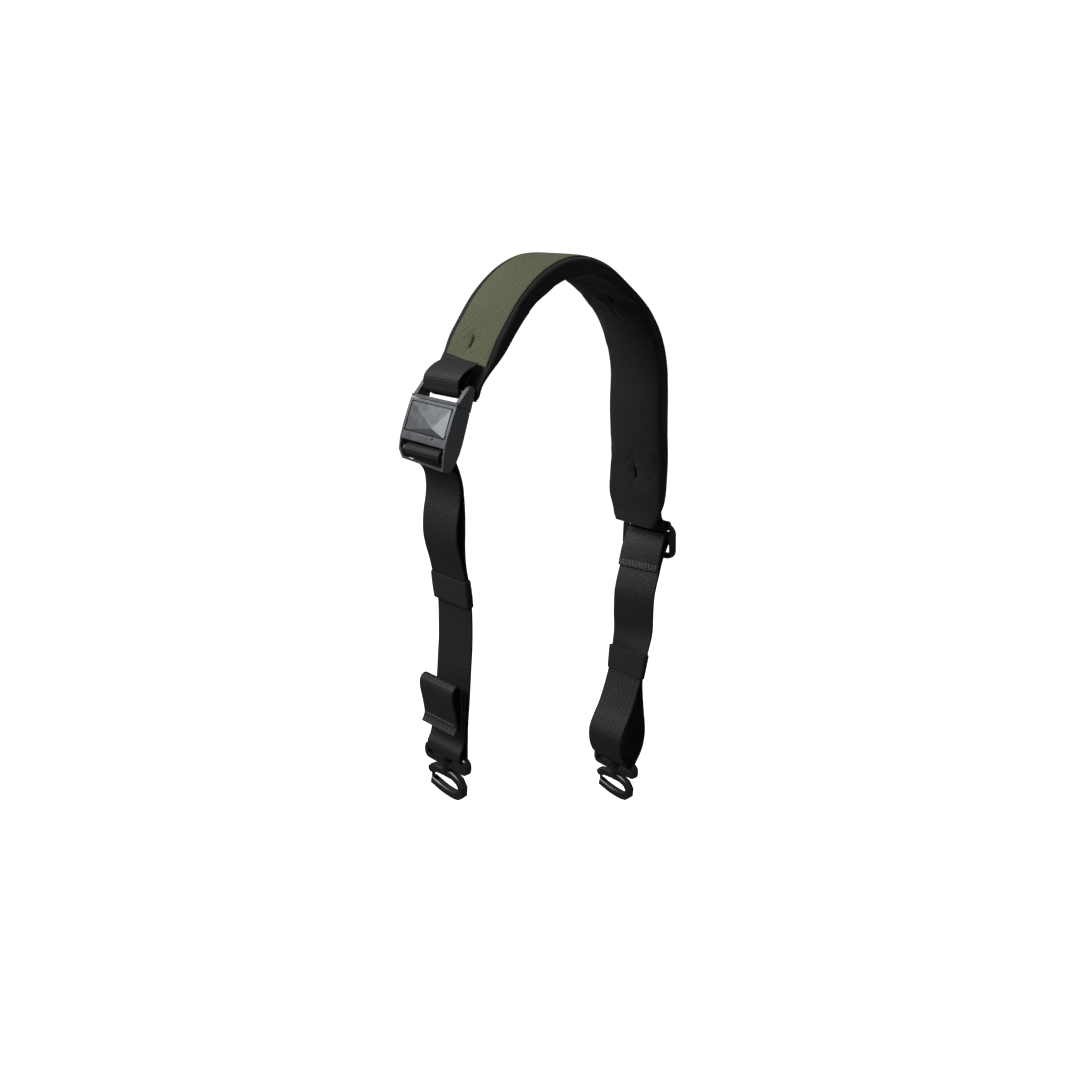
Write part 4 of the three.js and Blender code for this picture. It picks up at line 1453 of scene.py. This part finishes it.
@dataclass
class LeftLeg:
    """Left webbing: anchor loop, adjustable strap, keeper and pull tab."""

    anchor_out: Rows = ((-81.8, -52.6), (-83.3, -54.6), (-89.4, -56), (-97, -59), (-102, -64.3))
    anchor_back: Rows = ((-96.3, -68.5), (-95, -65.4), (-92.6, -62))
    arm_bar: tuple[float, float] = (6.0, 10.2)
    window_bar: tuple[float, float] = (4.0, -34.8)
    window_wrap: float = 2.6 + WRAP_GAP + ROLL_ROOM + WEB_THICK / 2
    tail: Rows = (
        (-96.6, -224), (-97.7, -215), (-98.8, -206), (-101.5, -194), (-104.2, -185), (-106, -176),
        (-106.1, -167), (-105, -158), (-103.1, -149), (-102.4, -140), (-103.8, -131), (-107.2, -125.9),
        (-112.6, -121),
    )
    main: Rows = (
        (-110.8, -112.5), (-107.7, -115.3), (-105.4, -120.2), (-102.4, -128), (-100.3, -136),
        (-99.4, -146), (-99, -158), (-99.2, -170), (-99.5, -182), (-98.9, -193), (-96.7, -206),
        (-95.6, -215), (-94.5, -224), (-94.2, -238), (-94.6, -256), (-95.9, -271), (-97.2, -286),
        (-98.5, -301), (-99.7, -314), (-100.4, -329),
    )
    fold: Rows = (
        (-107.4, -335.5), (-104.6, -330), (-103.2, -324), (-103, -314), (-102, -301), (-101.2, -292),
    )
    tab: Rows = (
        (-112.3, -318.2), (-109.5, -312.6), (-110.4, -304), (-112, -296), (-113.1, -289),
        (-112.2, -283.6), (-109, -281.2), (-106, -283.4), (-105, -289), (-104.6, -296), (-104.8, -304),
        (-105.3, -311), (-105.7, -316),
    )
    tab_seam: tuple[float, float, float] = (-109.0, -311.5, 0.34)
    strap_seam: tuple[float, float, float] = (-106.0, -321.5, 0.26)
    seam_half: float = 17.0
    stitch_pitch: float = 2.6
    stitch_arch: float = 0.22

    def anchor(self) -> Ribbon:
        """Webbing from under the panel round the buckle's arm bar.

        Returns:
            The band, not yet built.
        """
        round_bar = arc_rows(from_buckle(self.arm_bar), BAR_WRAP + ROLL_ROOM, 165, 360, 10)
        rows = [*self.anchor_out, *round_bar, *self.anchor_back]
        return Ribbon(rows, drift=left_drift, trim=(3.1, -0.126))

    def strap(self) -> Ribbon:
        """Free tail, roll in the buckle's window, leg and fold round the loop bar.

        Returns:
            The band, not yet built.
        """
        roll = arc_rows(from_buckle(self.window_bar), self.window_wrap, 235, 60, 10)
        bottom = arc_rows(LEFT_BAR, BAR_WRAP, 0, -180, 10)
        return Ribbon([*self.tail, *roll, *self.main, *bottom, *self.fold])

    def build(self, finishes: Finishes) -> None:
        """Makes and dresses the left leg's webbing and its stitches.

        Args:
            finishes: every finish.
        """
        tab, strap = Ribbon(self.tab), self.strap()
        lay(self.anchor(), "webbing_anchor_left", 11, finishes, "anchor_left")
        lay(strap, "webbing_left", 12, finishes, "left_strap")
        lay(tab, "webbing_pull_tab", 13, finishes, "left_pull_tab")
        rows = []
        for ribbon, (x, z, radius) in ((tab, self.tab_seam), (strap, self.strap_seam)):
            seam = straight_row(ribbon, ribbon.where(x, z), self.stitch_pitch, self.seam_half)
            rows += capsules(*seam, radius, self.stitch_arch)
        place(joined("stitches_pull_tab", rows), finishes.thread, "webbing", "strap")


@dataclass
class RightLeg:
    """Right webbing: anchor loop, sewn flap, leg and bottom loop."""

    anchor_out: Rows = (
        (101.8, -171), (101, -181), (100.5, -190), (101.2, -196.4), (104.2, -200), (107, -201.2),
    )
    anchor_back: Rows = ((104, -202.8), (102, -200.8))
    flap: Rows = ((97.3, -242), (98.6, -236), (100.6, -228), (103.2, -220.5))
    main: Rows = (
        (110.6, -219.5), (107.2, -225), (103.6, -231.4), (101, -237.6), (99, -244), (95.8, -254),
        (93.6, -264), (93, -280), (92.8, -296), (89.8, -311), (88, -321), (86.2, -331), (86.6, -342),
        (88, -356), (90, -370), (90.6, -381), (88.8, -391), (85, -398.6), (81, -403.8),
    )
    fold: Rows = (
        (70.6, -405), (65.6, -400), (62, -391), (61.8, -379), (66.6, -369), (72.2, -360), (77.4, -349),
        (81.4, -339), (84.1, -331), (85.9, -321), (87.6, -311.6),
    )
    slider_wrap: float = 1.7 + 0.65 + WEB_THICK / 2
    slider_top: float = 12.9
    slider_middle: float = 4.2
    seams: Rows = ((98.3, -237.6), (97.9, -239.5))
    seam_half: float = 17.4
    stitch_pitch: float = 1.5
    stitch_swing: float = 0.95
    raised: tuple[float, float] = (0.3, 0.25)
    sunk: tuple[float, float] = (0.12, 0.05)

    def anchor(self) -> Ribbon:
        """Webbing from under the panel round the slider's top bar.

        Returns:
            The band, not yet built.
        """
        bar = (SLIDER_CENTRE[0], SLIDER_CENTRE[1] + self.slider_top)
        turn = arc_rows(bar, self.slider_wrap, 75, -180, 12)
        return Ribbon([*self.anchor_out, *turn, *self.anchor_back], lean=right_lean)

    def strap(self) -> Ribbon:
        """Sewn flap, turn round the slider's middle bar, leg and bottom loop.

        Returns:
            The band, not yet built.
        """
        bar = (SLIDER_CENTRE[0], SLIDER_CENTRE[1] + self.slider_middle)
        turn = arc_rows(bar, self.slider_wrap, 185, -25, 11)
        bottom = arc_rows(RIGHT_BAR, BAR_WRAP, -32, -132, 6)
        return Ribbon([*self.flap, *turn, *self.main, *bottom, *self.fold], lean=right_lean)

    def build(self, finishes: Finishes) -> None:
        """Makes and dresses the right leg's webbing and its stitches.

        Every other stitch of a zig-zag row is raised and the ones between are sunk, each with
        its own radius and arch.

        Args:
            finishes: every finish.
        """
        strap = self.strap()
        lay(self.anchor(), "webbing_anchor_right", 21, finishes, "anchor_right")
        lay(strap, "webbing_right", 22, finishes, "right_strap")
        rows = []
        for x, z in self.seams:
            u = strap.where(x, z)
            seam = zigzag(strap, u, self.stitch_pitch, self.stitch_swing, self.seam_half)
            for first, size in enumerate((self.raised, self.sunk)):
                rows += capsules(*(part[first::2] for part in seam), *size)
        place(joined("stitches_flap", rows), finishes.thread, "webbing", "strap")


@dataclass
class Keeper:
    """Elastic band round two layers of webbing."""

    name: str
    node: str
    top: tuple[float, float]
    bottom: tuple[float, float]
    lean: Callable[[Array], Array]
    height: float = 20.0
    wall: float = 0.7
    thick: float = 4.62
    width: float = 38.6
    outer_corner: float = 1.9
    inner_corner: float = 0.6
    bulge: float = 0.25
    hem_depth: float = 0.35
    hem_share: float = 0.04
    levels: int = 41
    side_points: int = 9

    def build(self, finishes: Finishes) -> None:
        """Closed wall: a rounded rectangle carried up the height, bulging between its hems.

        Args:
            finishes: every finish.
        """
        half_x, half_y = self.thick / 2, self.width / 2
        v = np.linspace(0.0, 1.0, self.levels)
        outer = self.loop(half_x + self.wall, half_y + self.wall, self.outer_corner)
        inner = self.loop(half_x, half_y, self.inner_corner)
        hem = self.hem_depth * (1 - smoothstep(np.minimum(v, 1 - v), 0.0, self.hem_share))
        swell = self.bulge * np.sin(math.pi * v) - hem
        size = np.linalg.norm(outer, axis=1)[:, None]
        skin = outer[None] * (1 + swell[:, None, None] / size[None])
        lining = np.repeat(inner[None], self.levels, axis=0)[::-1]
        rings = np.concatenate([skin, lining], axis=0)
        level = np.concatenate([v, v[::-1]])
        axis = np.array(self.top) - np.array(self.bottom)
        axis /= np.linalg.norm(axis)
        side = np.array([axis[1], -axis[0]])
        middle = (np.array(self.top) + np.array(self.bottom)) / 2
        rise = (level - 0.5) * self.height
        x = middle[0] + axis[0] * rise[:, None] + side[0] * rings[..., 0]
        z = middle[1] + axis[1] * rise[:, None] + side[1] * rings[..., 0]
        y = rings[..., 1]
        grid = np.stack([x - self.lean(z) * y, y, z], axis=-1)
        faces = tube_faces(*grid.shape[:2], closed_rows=True)
        uv = tube_uv(np.concatenate([rise, [rise[0]]]), lengths(outer))
        obj = new_object(self.name, grid.reshape(-1, 3), [faces], [uv])
        place(obj, finishes.elastic, "elastic", "strap", self.node)

    def loop(self, half_x: float, half_y: float, corner: float) -> Array:
        """Rounded rectangle, its long sides cut into even steps.

        Args:
            half_x: half size through the band.
            half_y: half size across the band.
            corner: corner radius.

        Returns:
            Points round the section, one row each.
        """
        angle = np.radians(np.linspace(0, 90, 6))
        arc = np.stack([np.cos(angle), np.sin(angle)], axis=1) * corner
        first = arc + [half_x - corner, half_y - corner]
        second = np.stack([-first[::-1, 0], first[::-1, 1]], axis=1)
        steps = np.linspace(0, 1, self.side_points + 2)[1:-1, None]
        left = second[-1] + steps * ([second[-1][0], -second[-1][1]] - second[-1])
        half = np.vstack([first, second, left])
        return np.vstack([half, -half])


# ---------------------------------------------------------------- hard parts
SAME_PLACE = 0.00001
FLAT_DEGREES = 1.0


@dataclass
class HardPart:
    """Moulded part that follows its CAD node, with its edges rounded."""

    name: str
    node: str
    body: str
    slot: str
    edge: float = 0.4
    angle: float = 25.0
    segments: int = 3

    def build(self, material: Material) -> Object:
        """Merged copy of the node, flat areas made whole again, edges bevelled.

        Args:
            material: its finish.

        Returns:
            The dressed piece.
        """
        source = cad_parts[self.node]
        mesh = source.data.copy()
        mesh.name = self.name
        obj = bpy.data.objects.new(self.name, mesh)
        bpy.context.scene.collection.objects.link(obj)
        work = bmesh.new()
        work.from_mesh(mesh)
        bmesh.ops.remove_doubles(work, verts=work.verts, dist=SAME_PLACE)
        bmesh.ops.dissolve_limit(
            work, angle_limit=math.radians(FLAT_DEGREES), use_dissolve_boundaries=False,
            verts=work.verts, edges=work.edges,
        )
        for face in work.faces:
            face.smooth = True
        work.to_mesh(mesh)
        work.free()
        if "custom_normal" in mesh.attributes:
            mesh.attributes.remove(mesh.attributes["custom_normal"])
        add_modifier(
            obj, "BEVEL", width=self.edge * MM, segments=self.segments, limit_method="ANGLE",
            angle_limit=math.radians(self.angle), use_clamp_overlap=True, harden_normals=True,
            miter_outer="MITER_ARC",
        )
        return place(obj, material, self.slot, self.body, self.node)


@dataclass
class Hardware:
    """Buckle, slider, D-loops, hooks and gates."""

    def build(self, finishes: Finishes) -> None:
        """Makes and dresses every hard part.

        Args:
            finishes: every finish.
        """
        shell, acetal = finishes.shell, finishes.acetal
        for name in ("buckle_upper", "buckle_body"):
            HardPart(f"{name}_shell", name, "strap", "buckle_shell", edge=0.45).build(shell)
        plate = HardPart("buckle_face_plate", "buckle_face", "strap", "buckle_plate", 0.25, angle=3)
        plate.build(finishes.plate)
        HardPart("slider_frame", "right_slider", "strap", "hardware", edge=0.45).build(acetal)
        for side in ("left", "right"):
            hook, gate = f"{side}_hook", f"{side}_gate"
            HardPart(f"{side}_loop", f"{side}_dloop", "strap", "hardware", edge=0.5).build(acetal)
            HardPart(f"{hook}_ring", hook, hook, "hardware", edge=0.5).build(acetal)
            HardPart(f"{gate}_leaf", gate, gate, "hardware", edge=0.2).build(shell)


# ---------------------------------------------------------------- stage
@dataclass(frozen=True)
class Softbox:
    """Large soft light: place, aim and diameter in metres, power in watts."""

    name: str
    place: tuple[float, float, float]
    aim: tuple[float, float, float]
    size: float
    power: float


def set_up(name: str, data: bpy.types.ID, at: Sequence[float], look: Vector) -> Object:
    """Puts a camera or a lamp into the scene, looking along a direction.

    Args:
        name: object name.
        data: camera or lamp.
        at: place in metres.
        look: direction of view or light.

    Returns:
        The new object.
    """
    obj = bpy.data.objects.new(name, data)
    obj.location = at
    obj.rotation_mode = "QUATERNION"
    obj.rotation_quaternion = look.to_track_quat("-Z", "Y")
    bpy.context.scene.collection.objects.link(obj)
    return obj


@dataclass
class Studio:
    """Pale floor, soft light and the camera."""

    camera_at: tuple[float, float, float] = (-0.5966, -0.6353, 0.0583)
    look: tuple[float, float, float] = (0.6496, 0.7058, -0.2826)
    lens: float = 40.0
    floor_z: float = -0.62
    floor_half: float = 40.0
    lights: tuple[Softbox, ...] = (
        Softbox("key", (-1.15, 0.5, 0.85), (0.0, 0.0, -0.2), 1.0, 28.0),
        Softbox("fill", (-0.5, -1.6, 0.5), (0.0, 0.0, -0.2), 1.6, 0.9),
        Softbox("top", (0.3, 0.4, 1.6), (0.0, 0.0, -0.1), 1.4, 5.0),
    )

    def camera(self) -> None:
        """Camera at the viewing angle."""
        data = bpy.data.cameras.new("camera")
        data.lens, data.sensor_width = self.lens, 36.0
        data.clip_start, data.clip_end = 0.01, 50.0
        bpy.context.scene.camera = set_up("camera", data, self.camera_at, Vector(self.look))

    def floor(self) -> None:
        """Wide pale floor below the hooks."""
        half, z = self.floor_half / MM, self.floor_z / MM
        corners = np.array([[-half, -half, z], [half, -half, z], [half, half, z], [-half, half, z]])
        floor = new_object("floor", corners, [np.array([[0, 1, 2, 3]])], None)
        material, graph, shader = shaded("pale_floor")
        graph.fill(shader, {
            "Base Color": graph.blend(graph.noise(6.0), grey(0.86), grey(0.9)), "Roughness": 0.9,
            "Emission Color": grey(1.0), "Emission Strength": 1.0,
        })
        floor.data.materials.append(material)
        floor.visible_diffuse = False
        floor.visible_glossy = False

    def world(self) -> None:
        """White to the camera, dim and slightly brighter above for the light it gives."""
        world = bpy.data.worlds.new("studio")
        world.use_nodes = True
        bpy.context.scene.world = world
        graph = Graph(world.node_tree)
        back = world.node_tree.nodes["Background"]
        direct = graph.add("ShaderNodeLightPath").outputs["Is Camera Ray"]
        outwards = graph.add("ShaderNodeTexCoord").outputs["Generated"]
        height = graph.add("ShaderNodeSeparateXYZ", {0: outwards}).outputs[2]
        sky = graph.blend(graph.remap(height, -0.4, 1.0), grey(0.12), grey(0.25))
        graph.feed(back.inputs["Color"], graph.blend(direct, sky, grey(1.0)))

    def lamps(self) -> None:
        """The softboxes."""
        for box in self.lights:
            data = bpy.data.lights.new(box.name, "AREA")
            data.shape, data.size, data.energy = "DISK", box.size, box.power
            set_up(box.name, data, box.place, Vector(box.aim) - Vector(box.place))

    def build(self) -> None:
        """Camera, floor, world and lamps."""
        self.camera()
        self.floor()
        self.world()
        self.lamps()
        bpy.context.scene.view_settings.view_transform = "Standard"


def write_sizes() -> None:
    """Updates the view layer."""
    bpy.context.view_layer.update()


def main() -> None:
    """Builds the strap from the pad down, then the studio."""
    logging.basicConfig(level=logging.INFO, format="%(name)s: %(message)s")
    finishes = Finishes()
    keepers = (
        Keeper("keeper_left", "left_keeper", (-97.75, -206.0), (-95.55, -224.0), no_lean),
        Keeper("keeper_right", "right_keeper", (88.75, -311.0), (85.15, -331.0), right_lean),
    )
    for piece in (ShoulderPad(), LeftLeg(), RightLeg(), *keepers, Hardware()):
        piece.build(finishes)
    Studio().build()
    write_sizes()


if __name__ == "__main__":
    main()
